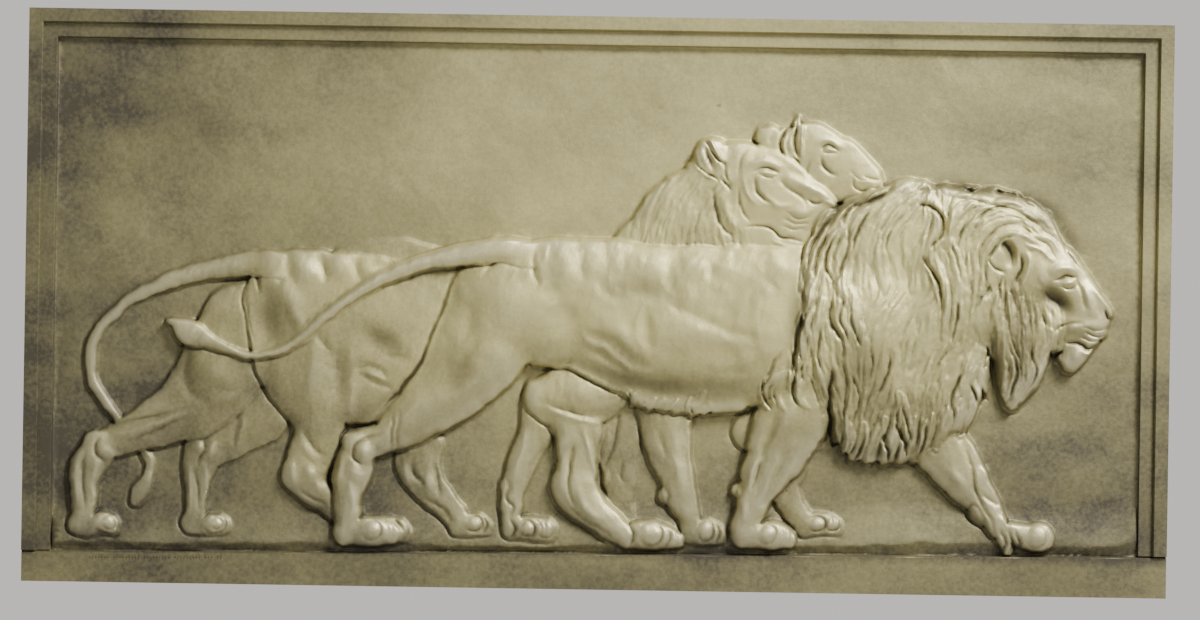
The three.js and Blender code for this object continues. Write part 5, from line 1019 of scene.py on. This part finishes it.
def combed(noise, flow_x, flow_z, length):
    """Noise drawn out along the flow, as strands of that length."""
    rows, columns = noise.shape
    home_z, home_x = np.meshgrid(np.arange(rows), np.arange(columns), indexing="ij")
    total = noise.copy()
    for way in (1, -1):
        x = home_x.astype(float)
        z = home_z.astype(float)
        for _ in range(int(length / PITCH / 2)):
            at = (np.rint(z).astype(int), np.rint(x).astype(int))
            x = np.clip(x + way * flow_x[at], 0, columns - 1)
            z = np.clip(z + way * flow_z[at], 0, rows - 1)
            total += noise[np.rint(z).astype(int), np.rint(x).astype(int)]
    total -= total.mean()
    return total / total.std()


def box_round(guides, spread):
    """The rows and columns of the grid round some guide lines."""
    points = np.concatenate([smooth_path(line, COARSE_STRIDE) for line in guides])
    reach = 3 * spread
    low_x, low_z = points.min(axis=0) - reach
    high_x, high_z = points.max(axis=0) + reach
    left, right = np.searchsorted(XS, [low_x, high_x])
    low, high = np.searchsorted(ZS, [low_z, high_z])
    return slice(int(low), int(high)), slice(int(left), int(right))


def comb(relief, cover, coat, rng):
    """Strands of hair along the guide lines of one coat: rounded rolls with sharp creases between."""
    guides, spread, strands = coat
    rows, columns = box_round(guides, spread)
    flow_x, flow_z, nearness = flow(guides, rows, columns, spread)
    cover_here = cover[rows, columns] * smoothstep(nearness, *COAT_EDGE)
    for height, width, length in strands:
        strand = combed(soft_noise(rng, flow_x.shape, width), flow_x, flow_z, length)
        rolls = np.minimum(np.abs(strand), STRAND_CREST) - STRAND_MIDDLE
        relief[rows, columns] += height * rolls * cover_here


def ruffled(inside, shag, rng):
    """The outline of a head of hair, its ends reaching out and its gaps cutting in along the hair."""
    guides, spread, ruffle = shag
    rows, columns = box_round(guides, spread)
    flow_x, flow_z, nearness = flow(guides, rows, columns, spread)
    strand = combed(soft_noise(rng, flow_x.shape, TUFT_WIDTH), flow_x, flow_z, TUFT_LENGTH)
    out = inside.copy()
    out[rows, columns] += ruffle * np.tanh(strand) * smoothstep(nearness, *SHAG_EDGE)
    return out


def rail_top():
    """The upper edge of the base rail, which climbs towards the right."""
    return PANEL_FOOT + RAIL_CLIMB * np.clip((XS - PANEL_LEFT) / PANEL_LENGTH, 0, 1)


def ground_relief(rng):
    """The board behind the figures, slightly uneven, swelling to the terrace that they walk on."""
    shape = (ROWS, COLUMNS)
    crest = BAND_RISE - TERRACE_DROP
    height, length = CREST_WANDER
    wander = blurred(rng.standard_normal((1, COLUMNS)), length)[0]
    wander *= height / wander.std()
    above_rail = ZS[:, None] - rail_top()[None, :]
    crest_line = (TERRACE_HEIGHT * CREST_SHARE + wander)[None, :]
    swell = 1 - smoothstep(above_rail, crest_line, crest_line + TERRACE_SWELL)
    bank = np.clip(above_rail / crest_line, 0, 1) ** BANK_CURVE
    relief = crest * swell * (BANK_FOOT + (1 - BANK_FOOT) * bank)
    for height, grain in GROUND_LUMPS:
        relief += height * soft_noise(rng, shape, grain)
    return relief


def sampled(field, x, z):
    """A field of the grid read at points in millimetres."""
    column = np.clip((x - XS[0]) / STEP_X, 0, COLUMNS - 1.001)
    row = np.clip((z - ZS[0]) / STEP_Z, 0, ROWS - 1.001)
    i, j = column.astype(int), row.astype(int)
    s, t = column - i, row - j
    lower = field[j, i] * (1 - s) + field[j, i + 1] * s
    upper = field[j + 1, i] * (1 - s) + field[j + 1, i + 1] * s
    return lower * (1 - t) + upper * t


def shadow_side(inside):
    """1 along the left and lower edges of a figure, 0 along its right and upper edges."""
    softness = 1.6
    light_x, light_z = 0.72, 0.69
    smooth = blurred(np.maximum(inside, -HALO), softness)
    slope_z, slope_x = np.gradient(smooth)
    steepness = np.maximum(np.hypot(slope_x, slope_z), 1e-6)
    return smoothstep((light_x * slope_x + light_z * slope_z) / steepness, -0.35, 0.45)


def fading_of(fades):
    """1 over most of a limb, and 0 where its end sinks into the body that carries it."""
    fading = 1.0
    for start, end in fades:
        (x0, z0), (x1, z1) = place(*start), place(*end)
        across = (XS[None, :] - x0) * (x1 - x0) + (ZS[:, None] - z0) * (z1 - z0)
        fading = fading * smoothstep(across / ((x1 - x0) ** 2 + (z1 - z0) ** 2), 0, 1)
    return fading


def calm_of(layer):
    """How freely the hair stands up: less round one place of the mane, where it lies smooth."""
    if "calm" not in layer:
        return 1.0
    x, y, reach, share = layer["calm"]
    across, up = place(x, y)
    squared = (XS[None, :] - across) ** 2 + (ZS[:, None] - up) ** 2
    return 1 - share * np.exp(-squared / reach ** 2)


def carve_layer(relief, figures, layer, rng):
    """One figure, or part of one, laid over everything behind it, and marked where fur may grow."""
    height, inside = mass_of(layer["limbs"], layer["lift"])
    if "shag" in layer:
        inside = ruffled(inside, layer["shag"], rng)
    fading = fading_of(layer.get("fades", []))
    shadow = shadow_side(inside)
    profile = np.exp(-((inside + GROOVE_OFFSET) / GROOVE_WIDTH) ** 2) * (inside > -HALO)
    under = relief - TOOL_GROOVE * profile * shadow * fading
    laid = blurred(relief, layer.get("underlay", UNDERLAY_BLUR)) + layer["step"] * DEPTH
    on = inside > 0
    relief = under.copy()
    relief[on] = smooth_maximum(height[on], laid[on], BLEND)
    cover = smoothstep(inside, 0, LIT_EDGE + (SHADOW_EDGE - LIT_EDGE) * shadow) * fading
    if "locks" in layer:
        lay_locks(relief, layer["locks"], relief.copy())
        proud = smoothstep(relief - under, *PROUD_LOCK) * fading
        cover = np.maximum(cover, np.where(on, 0, proud))
    for coat in layer.get("coats", []):
        comb(relief, cover * calm_of(layer), coat, rng)
    relief += stroke_field(layer.get("strokes", [])) * cover
    figures += (layer.get("fur", 1.0) - figures) * cover
    return under + (relief - under) * cover


def frame_relief(relief):
    """The raised band and rim on three sides, and the rail below, each with a softly rounded edge."""
    lead = 1.2
    rail_lead = 1.0
    seam = 0.5
    overlap = 0.2
    beyond_sides = np.maximum(PANEL_LEFT - XS, XS - PANEL_LEFT - PANEL_LENGTH)
    beyond_top = ZS - PANEL_FOOT - PANEL_HEIGHT
    beyond = np.maximum(beyond_sides[None, :], beyond_top[:, None])
    band = BAND_RISE * smoothstep(beyond, 0, lead)
    rim = RIM_STEP * smoothstep(beyond, BAND_WIDTH, BAND_WIDTH + lead)
    relief = relief * smoothstep(-beyond, -overlap, seam)
    relief = np.where(beyond > -seam, np.maximum(relief, band + rim), relief)
    above_rail = ZS[:, None] - rail_top()[None, :]
    rail = (BAND_RISE + RAIL_STEP) * smoothstep(-above_rail, -overlap, rail_lead)
    relief = relief * smoothstep(above_rail, -seam, seam)
    return np.where(above_rail < overlap, np.maximum(relief, rail), relief)


def wandered(relief, rng):
    """The same front with every line a little uneven, as a hand draws it in wax."""
    places = np.meshgrid(XS, ZS)
    for side in places:
        side += sum(shift * soft_noise(rng, relief.shape, grain) for shift, grain in LINE_WANDER)
    return sampled(relief, *places)


def carve_front():
    """The whole front as heights above the slab."""
    rng = np.random.default_rng(SEED)
    relief = ground_relief(rng)
    figures = np.zeros(relief.shape)
    for layer in LAYERS:
        relief = carve_layer(relief, figures, layer, rng)
    relief = wandered(relief, rng)
    comb(relief, figures, FUR_COAT, rng)
    height, grain = FIGURE_LUMPS
    relief += height * soft_noise(rng, relief.shape, grain) * figures
    return np.clip(frame_relief(relief), -DEEPEST_CUT, RELIEF_TOP)


def plaque_mesh(relief):
    """A closed shell: the carved front, straight edges and a flat back."""
    across, up = np.meshgrid(XS, ZS)
    front = np.column_stack([across.ravel(), -(SLAB_THICKNESS + relief).ravel(), up.ravel()])
    node = np.arange(ROWS * COLUMNS).reshape(ROWS, COLUMNS)
    quads = np.column_stack([node[:-1, :-1].ravel(), node[:-1, 1:].ravel(),
                             node[1:, 1:].ravel(), node[1:, :-1].ravel()])
    rim = np.concatenate([node[0, :-1], node[:-1, -1], node[-1, :0:-1], node[:0:-1, 0]])
    back = front[rim] * (1, 0, 1)
    back_rim = np.arange(len(rim)) + len(front)
    following = np.roll(np.arange(len(rim)), -1)
    walls = np.column_stack([rim[following], rim, back_rim, back_rim[following]])
    points = np.vstack([front, back]) * MM
    loops = np.concatenate([quads.ravel(), walls.ravel(), back_rim[::-1]])
    sizes = np.concatenate([np.full(len(quads) + len(walls), 4), [len(rim)]])
    starts = np.concatenate([[0], np.cumsum(sizes)[:-1]])
    mesh = bpy.data.meshes.new("relief_plaque_carved")
    mesh.vertices.add(len(points))
    mesh.vertices.foreach_set("co", points.ravel())
    mesh.loops.add(len(loops))
    mesh.loops.foreach_set("vertex_index", loops)
    mesh.polygons.add(len(sizes))
    mesh.polygons.foreach_set("loop_start", starts)
    mesh.update(calc_edges=True)
    mesh.validate()
    return mesh


def thinned(piece):
    """Triangles only where the surface bends, so the hair and the faces keep them."""
    triangles = sum(len(face.vertices) - 2 for face in piece.data.polygons)
    modifier = piece.modifiers.new("thin", "DECIMATE")
    modifier.ratio = min(1.0, TRIANGLES / triangles)
    evaluated = piece.evaluated_get(bpy.context.evaluated_depsgraph_get())
    mesh = bpy.data.meshes.new_from_object(evaluated)
    piece.modifiers.remove(modifier)
    piece.data = mesh


def valleys(relief, reach):
    """How far each node lies below the ground on both sides of it, whichever way that is deepest."""
    steps = round(reach / PITCH)
    deepest = np.zeros(relief.shape)
    for rows, columns in ((0, 1), (1, 0), (1, 1), (1, -1)):
        one = np.roll(relief, (rows * steps, columns * steps), axis=(0, 1))
        other = np.roll(relief, (-rows * steps, -columns * steps), axis=(0, 1))
        np.maximum(deepest, np.minimum(one, other) - relief, out=deepest)
    return deepest


def on_carving(x, z):
    """Whether points in millimetres lie on the carved panel, clear of the frame and the rail."""
    margin = 1
    clear_of_sides = np.abs(x) < PANEL_LENGTH / 2 - margin
    above_rail = z > np.interp(x, XS, rail_top()) + margin
    return clear_of_sides & above_rail & (z < PANEL_FOOT + PANEL_HEIGHT - margin)


def add_wear_and_painted_light(piece, relief):
    """Where creases lie, darkened with patina and painted shade; where crowns stand, rubbed pale and
    painted with highlights; how far each point is raised; how much it faces upwards, for painted light
    above and painted shade below; and where dark patches of patina and painted shade lie.

    A crease is full where it lies so deep between its sides, and a crown where it stands so high over its
    near surroundings or its wider ones. Only the figures face upwards or down, not the ground.
    """
    crease_reach, crease_depth = 2.4, 1.4
    near_reach, near_height = 8, 3
    wide_reach, wide_height = 20, 9
    slope_gain = 4
    figure_edge = (2.5, 6)
    places = np.zeros(len(piece.data.vertices) * 3)
    piece.data.vertices.foreach_get("co", places)
    x, y, z = places.reshape(-1, 3).T / MM
    carved = on_carving(x, z) & (y < -SLAB_THICKNESS / 2)
    near, wide = blurred(relief, near_reach), blurred(relief, wide_reach)
    lean = -slope_gain * np.gradient(near, STEP_Z, axis=0)
    # Painted light and shade: figure surfaces facing up are made paler in colour, those facing down darker
    fields = {
        "crease": valleys(relief, crease_reach) / crease_depth,
        "crown": np.maximum((relief - near) / near_height, (relief - wide) / wide_height),
        "raised": relief / RELIEF_TOP,
        "painted_slope_light": lean * smoothstep(relief, *figure_edge),
        "patina_and_shade": stroke_field(PATINA_AND_SHADE_PATCHES) / DEPTH,
    }
    for name, field in fields.items():
        values = np.clip(sampled(field, x, z), -1, 1) * carved
        layer = piece.data.attributes.new(name, "FLOAT", "POINT")
        layer.data.foreach_set("value", values.astype(np.float32))


def flat_frame(piece):
    """Smooth shading over the carving, and flat faces with crisp edges on the frame, rail and back."""
    mesh = piece.data
    centres = np.zeros(len(mesh.polygons) * 3)
    mesh.polygons.foreach_get("center", centres)
    x, y, z = centres.reshape(-1, 3).T / MM
    mesh.polygons.foreach_set("use_smooth", on_carving(x, z) & (y < -SLAB_THICKNESS / 2))
    mesh.update()


def linear(hex_colour):
    """An sRGB hex colour as linear red, green, blue and alpha."""
    channels = [int(hex_colour[k:k + 2], 16) / 255 for k in (1, 3, 5)]
    return (*[c / 12.92 if c <= 0.04045 else ((c + 0.055) / 1.055) ** 2.4 for c in channels], 1.0)


def add_node(tree, kind, settings=None, inputs=None, links=None):
    """One node with its settings, the values of its sockets and the links into it.

    A socket goes by its name, or by its number where several of a node have the same name.
    """
    node = tree.nodes.new(kind)
    for name, value in (settings or {}).items():
        setattr(node, name, value)
    for name, value in (inputs or {}).items():
        node.inputs[name].default_value = value
    for name, source in (links or {}).items():
        tree.links.new(source, node.inputs[name])
    return node


def patinated_bronze():
    """Cast bronze under a thin olive-grey patina, paler in the middle, partly as a painted pool of light,
    and paler on all that stands up.

    The eye sees a satin metal: rubbed pale and painted with highlights on the crowns, mottled on the
    ground, dark in the creases with patina and painted shade. Painted light lies on what faces up, and
    painted shade on what faces down and towards the foot.
    """
    material = bpy.data.materials.new("patinated_cast_bronze")
    material.use_nodes = True
    tree = material.node_tree
    tree.nodes.clear()
    place_on = add_node(tree, "ShaderNodeTexCoord").outputs["Object"]
    fields = {name: add_node(tree, "ShaderNodeAttribute", {"attribute_name": name}).outputs["Fac"]
              for name in ("crease", "crown", "raised", "painted_slope_light", "patina_and_shade")}
    fields["height"] = add_node(tree, "ShaderNodeSeparateXYZ", links={"Vector": place_on}).outputs["Z"]

    # How far each point is from the pale middle, which is partly a painted pool of light: 1 along an oval
    # of these half spans in millimetres
    middle, spans = (85, 0, 75), (430, 10000, 260)
    centred = add_node(tree, "ShaderNodeMapping", inputs={
        "Location": tuple(-centre / span for centre, span in zip(middle, spans)),
        "Scale": tuple(1 / (span * MM) for span in spans)}, links={"Vector": place_on})
    fields["away"] = add_node(tree, "ShaderNodeVectorMath", {"operation": "LENGTH"},
                              links={0: centred.outputs["Vector"]}).outputs["Value"]

    # Mottling of the patina and unevenness of the cast skin: size of the lumps in millimetres, detail and
    # stretch. The grain of the real skin is about 0.3 mm, and it is drawn coarser so that it shows.
    even = (1, 1, 1)
    mottling = {
        "clouds": (95, 5, (1.5, 1, 1)),
        "smudges": (26, 6, (1.7, 1, 1.2)),
        "specks": (3.2, 4, even),
        "grain": (1.2, 2, even),
        "pits": (3.6, 3, even),
        "dents": (11, 2, even),
    }
    for name, (size, detail, stretch) in mottling.items():
        scale = tuple(1 / (size * MM * part) for part in stretch)
        spread = add_node(tree, "ShaderNodeMapping", inputs={"Scale": scale}, links={"Vector": place_on})
        lumps = add_node(tree, "ShaderNodeTexNoise", inputs={"Scale": 1.0, "Detail": detail},
                         links={"Vector": spread.outputs["Vector"]})
        fields[name] = lumps.outputs["Fac"]

    # Each new field is a sum. A part of it is a field, the range it is read over, and what its ends give.
    # Painted shade: the patina is made darker towards the foot of the plaque
    painted_shade_foot = (-215 * MM, -60 * MM)
    # The front of the rail is made paler
    paler_rail = (-206 * MM, -200 * MM)
    sums = {
        "light": [("away", 0.25, 1.15, 0.92, -0.04), ("raised", 0.03, 0.3, 0.0, 0.48),
                  ("height", *painted_shade_foot, -0.05, 0.0), ("painted_slope_light", -1.0, 1.0, -0.34, 0.2),
                  ("height", *paler_rail, 0.26, 0.0), ("clouds", 0.3, 0.7, -0.23, 0.23),
                  ("smudges", 0.32, 0.68, -0.16, 0.14), ("specks", 0.3, 0.7, -0.11, 0.11)],
        "paleness": [("light", -0.3, 1.1, 0.0, 1.0)],
        # Random smudges of stain, and dark patches of patina and painted shade
        "stains_and_painted_shade": [("smudges", 0.42, 0.66, 0.0, 0.24), ("patina_and_shade", 0.0, 0.8, 0.0, 0.85)],
        "crown_off_patches": [("crown", -1.0, 1.0, -1.0, 1.0), ("patina_and_shade", 0.0, 0.8, 0.0, -0.6)],
        # The crowns rubbed pale, partly a painted highlight
        "rubbed_and_highlit": [("crown_off_patches", 0.12, 0.95, 0.0, 0.48)],
        # The creases darkened, as dark patina and painted shade
        "shade": [("crease", 0.14, 1.0, 0.0, 0.82)],
        "roughness": [("crown_off_patches", 0.0, 1.0, 0.54, 0.48), ("smudges", 0.3, 0.7, 0.07, -0.05)],
        "skin": [("grain", 0.0, 1.0, 0.0, 1.0), ("pits", 0.0, 1.0, 0.0, 1.0),
                 ("dents", 0.0, 1.0, 0.0, 1.3)],
    }
    for name, parts in sums.items():
        for source, low, high, at_low, at_high in parts:
            part = add_node(tree, "ShaderNodeMapRange", inputs={
                "From Min": low, "From Max": high, "To Min": at_low, "To Max": at_high},
                links={"Value": fields[source]}).outputs["Result"]
            if name in fields:
                part = add_node(tree, "ShaderNodeMath", {"operation": "ADD"},
                                links={0: fields[name], 1: part}).outputs["Value"]
            fields[name] = part

    # The patina from dark olive to pale straw, and over it stains with dark patches of patina and painted
    # shade, rubbed metal with painted highlights, and the dark of creases, patina with painted shade
    colour = add_node(tree, "ShaderNodeMix", {"data_type": "RGBA"},
                      {6: linear("#524d3f"), 7: linear("#cfc588")}, {0: fields["paleness"]}).outputs[2]
    for field, over in (("stains_and_painted_shade", "#4f4934"), ("rubbed_and_highlit", "#d8cfa8"), ("shade", "#29241a")):
        colour = add_node(tree, "ShaderNodeMix", {"data_type": "RGBA"}, {7: linear(over)},
                          {0: fields[field], 6: colour}).outputs[2]

    bump = add_node(tree, "ShaderNodeBump", inputs={"Strength": 0.6, "Distance": 0.22 * MM},
                    links={"Height": fields["skin"]}).outputs["Normal"]
    shader = add_node(tree, "ShaderNodeBsdfPrincipled", inputs={"Metallic": 0.58},
                      links={"Base Color": colour, "Roughness": fields["roughness"], "Normal": bump})
    add_node(tree, "ShaderNodeOutputMaterial", links={"Surface": shader.outputs["BSDF"]})
    return material


def look_from(target, direction, distance, up):
    """A place at some distance from a target, turned to look at it."""
    back = direction.normalized()
    right = up.cross(back).normalized()
    over = back.cross(right)
    turned = Matrix((right, over, back)).transposed().to_4x4()
    return Matrix.Translation(target + back * distance) @ turned


def soft_light(name, direction, distance, size, watts):
    """A broad studio light aimed at the middle of the plaque."""
    lamp = bpy.data.lights.new(name, "AREA")
    lamp.shape = "RECTANGLE"
    lamp.size, lamp.size_y = size
    lamp.energy = watts
    light = bpy.data.objects.new(name, lamp)
    bpy.context.scene.collection.objects.link(light)
    light.matrix_world = look_from(Vector((0, 0, 0)), Vector(direction), distance, Vector((0, 0, 1)))


def photo_camera():
    """Straight on, a long way off, and turned a little as the picture is."""
    picture_width = 1200 * UNIT * MM
    picture_middle = (600, 310)
    figures_depth = 25 * MM
    distance = 3.4
    camera = bpy.data.objects.new("camera", bpy.data.cameras.new("camera"))
    camera.data.lens = camera.data.sensor_width * distance / picture_width
    camera.data.clip_end = 40
    across, up = place(*picture_middle)
    target = Vector((across * MM, BOX_LOW.y + figures_depth, up * MM))
    tilt = Vector((-math.sin(DRAWING_TURN), 0, math.cos(DRAWING_TURN)))
    camera.matrix_world = look_from(target, Vector((0, -1, 0)), distance, tilt)
    bpy.context.scene.collection.objects.link(camera)
    bpy.context.scene.camera = camera


def pale_studio():
    """A pale floor well below the plaque, and a pale surround that lights it softly.

    The surround looks brighter to the camera than the light that it gives to the bronze.
    """
    drop = 1.2
    reach = 3.5
    light_given, light_seen = 0.14, 0.78
    corners = [(-reach, -reach), (reach, -reach), (reach, reach), (-reach, reach)]
    mesh = bpy.data.meshes.new("floor")
    mesh.from_pydata([(x, y, -drop) for x, y in corners], [], [(0, 1, 2, 3)])
    floor = bpy.data.objects.new("floor", mesh)
    bpy.context.scene.collection.objects.link(floor)
    paper = bpy.data.materials.new("pale_paper")
    paper.use_nodes = True
    shader = paper.node_tree.nodes["Principled BSDF"]
    shader.inputs["Base Color"].default_value = linear("#d2d0c9")
    shader.inputs["Roughness"].default_value = 0.9
    mesh.materials.append(paper)
    world = bpy.data.worlds.new("studio")
    world.use_nodes = True
    bpy.context.scene.world = world
    tree = world.node_tree
    tree.nodes.clear()
    seen = add_node(tree, "ShaderNodeLightPath").outputs["Is Camera Ray"]
    strength = add_node(tree, "ShaderNodeMapRange", inputs={"To Min": light_given, "To Max": light_seen},
                        links={"Value": seen}).outputs["Result"]
    pale = add_node(tree, "ShaderNodeBackground", inputs={"Color": linear("#f2f0ea")},
                    links={"Strength": strength})
    add_node(tree, "ShaderNodeOutputWorld", links={"Surface": pale.outputs["Background"]})


def row_of_strokes():
    """Geometry nodes that set short upright strokes and bars along a line, like a worn inscription."""
    tree = bpy.data.node_groups.new("row_of_strokes", "GeometryNodeTree")
    for name, kind in (("Count", "NodeSocketInt"), ("Pitch", "NodeSocketFloat"),
                       ("Height", "NodeSocketFloat"), ("Relief", "NodeSocketFloat"),
                       ("Seed", "NodeSocketInt"), ("Material", "NodeSocketMaterial")):
        tree.interface.new_socket(name=name, in_out="INPUT", socket_type=kind)
    tree.interface.new_socket(name="Geometry", in_out="OUTPUT", socket_type="NodeSocketGeometry")
    given = add_node(tree, "NodeGroupInput").outputs
    step = add_node(tree, "ShaderNodeCombineXYZ", links={"X": given["Pitch"]}).outputs["Vector"]
    line = add_node(tree, "GeometryNodeMeshLine", links={"Count": given["Count"], "Offset": step})

    # One place in six or so stays empty, as between words
    gaps = add_node(tree, "FunctionNodeRandomValue", {"data_type": "BOOLEAN"}, {"Probability": 0.16},
                    {"Seed": given["Seed"]})
    kept = add_node(tree, "GeometryNodeDeleteGeometry",
                    links={"Geometry": line.outputs["Mesh"], "Selection": gaps.outputs[3]})

    # Upright strokes, then short bars: width in pitches, height in heights, most lean, and own seed
    joined = add_node(tree, "GeometryNodeJoinGeometry")
    for wide, tall, lean, own_seed in ((0.16, 1.0, 0.35, 10), (0.62, 0.14, 0.5, 20)):
        width, height = [
            add_node(tree, "ShaderNodeMath", {"operation": "MULTIPLY"}, {1: part}, {0: whole}).outputs[0]
            for part, whole in ((wide, given["Pitch"]), (tall, given["Height"]))]
        size = add_node(tree, "ShaderNodeCombineXYZ",
                        links={"X": width, "Y": given["Relief"], "Z": height})
        stroke = add_node(tree, "GeometryNodeMeshCube", links={"Size": size.outputs["Vector"]})
        seed = add_node(tree, "ShaderNodeMath", {"operation": "ADD"}, {1: own_seed}, {0: given["Seed"]})
        turn, stretch = [
            add_node(tree, "FunctionNodeRandomValue", {"data_type": "FLOAT_VECTOR"}, {0: least, 1: most},
                     {"Seed": seed.outputs["Value"]}).outputs[0]
            for least, most in (((0, -lean, 0), (0, lean, 0)), ((0.7, 1, 0.6), (1.3, 1, 1.0)))]
        set_out = add_node(tree, "GeometryNodeInstanceOnPoints", links={
            "Points": kept.outputs["Geometry"], "Instance": stroke.outputs["Mesh"],
            "Rotation": turn, "Scale": stretch})
        tree.links.new(set_out.outputs["Instances"], joined.inputs[0])
    solid = add_node(tree, "GeometryNodeRealizeInstances", links={"Geometry": joined.outputs[0]})
    # Each stroke takes a set crease value, so it is darkened as the creases are, with patina and painted
    # shade
    darkened_strokes = add_node(tree, "GeometryNodeStoreNamedAttribute", {"data_type": "FLOAT", "domain": "POINT"},
                     {"Name": "crease", "Value": 0.55}, {"Geometry": solid.outputs["Geometry"]})
    clad = add_node(tree, "GeometryNodeSetMaterial",
                    links={"Geometry": darkened_strokes.outputs["Geometry"], "Material": given["Material"]})
    add_node(tree, "NodeGroupOutput", links={"Geometry": clad.outputs["Geometry"]})
    return tree


def inscription(bronze):
    """The worn inscription at the left of the rail: thin strokes, half sunk in it, that form no letters."""
    start, end = (90, 557), (224, 557)
    count = 44
    letter_height = 4.4
    thickness = 0.3
    (left, foot), (right, _) = place(*start), place(*end)
    values = {"Count": count, "Pitch": (right - left) / count * MM, "Height": letter_height * MM,
              "Relief": thickness * MM, "Seed": 3, "Material": bronze}
    piece = bpy.data.objects.new("inscription", bpy.data.meshes.new("inscription"))
    bpy.context.scene.collection.objects.link(piece)
    tree = row_of_strokes()
    modifier = piece.modifiers.new("strokes", "NODES")
    modifier.node_group = tree
    for socket in tree.interface.items_tree:
        if socket.in_out == "INPUT":
            modifier[socket.identifier] = values[socket.name]
    evaluated = piece.evaluated_get(bpy.context.evaluated_depsgraph_get())
    mesh = bpy.data.meshes.new_from_object(evaluated)
    piece.modifiers.remove(modifier)
    piece.data = mesh
    face = SLAB_THICKNESS + BAND_RISE + RAIL_STEP
    turned = Matrix.Rotation(-DRAWING_TURN, 4, "Y")
    mesh.transform(Matrix.Translation(Vector((left, -face, foot)) * MM) @ turned)
    return piece


relief = carve_front()
plaque = bpy.data.objects.new("relief_plaque_cast", plaque_mesh(relief))
bpy.context.scene.collection.objects.link(plaque)
thinned(plaque)
flat_frame(plaque)
add_wear_and_painted_light(plaque, relief)
bronze = patinated_bronze()
plaque.data.materials.append(bronze)
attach(plaque, "root")
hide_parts("relief_plaque")

strokes = inscription(bronze)
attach(strokes, "root")

pale_studio()

# Each light: its direction from the plaque, its distance and size in metres, and its watts
soft_light("key", (0.70, -0.62, 0.80), 2.4, (0.7, 0.7), 122)
soft_light("glare", (0.02, -4.5, 0.30), 4.5, (0.8, 0.8), 22)
soft_light("fill", (-1.0, -0.9, -0.1), 2.8, (1.6, 1.6), 5)
photo_camera()
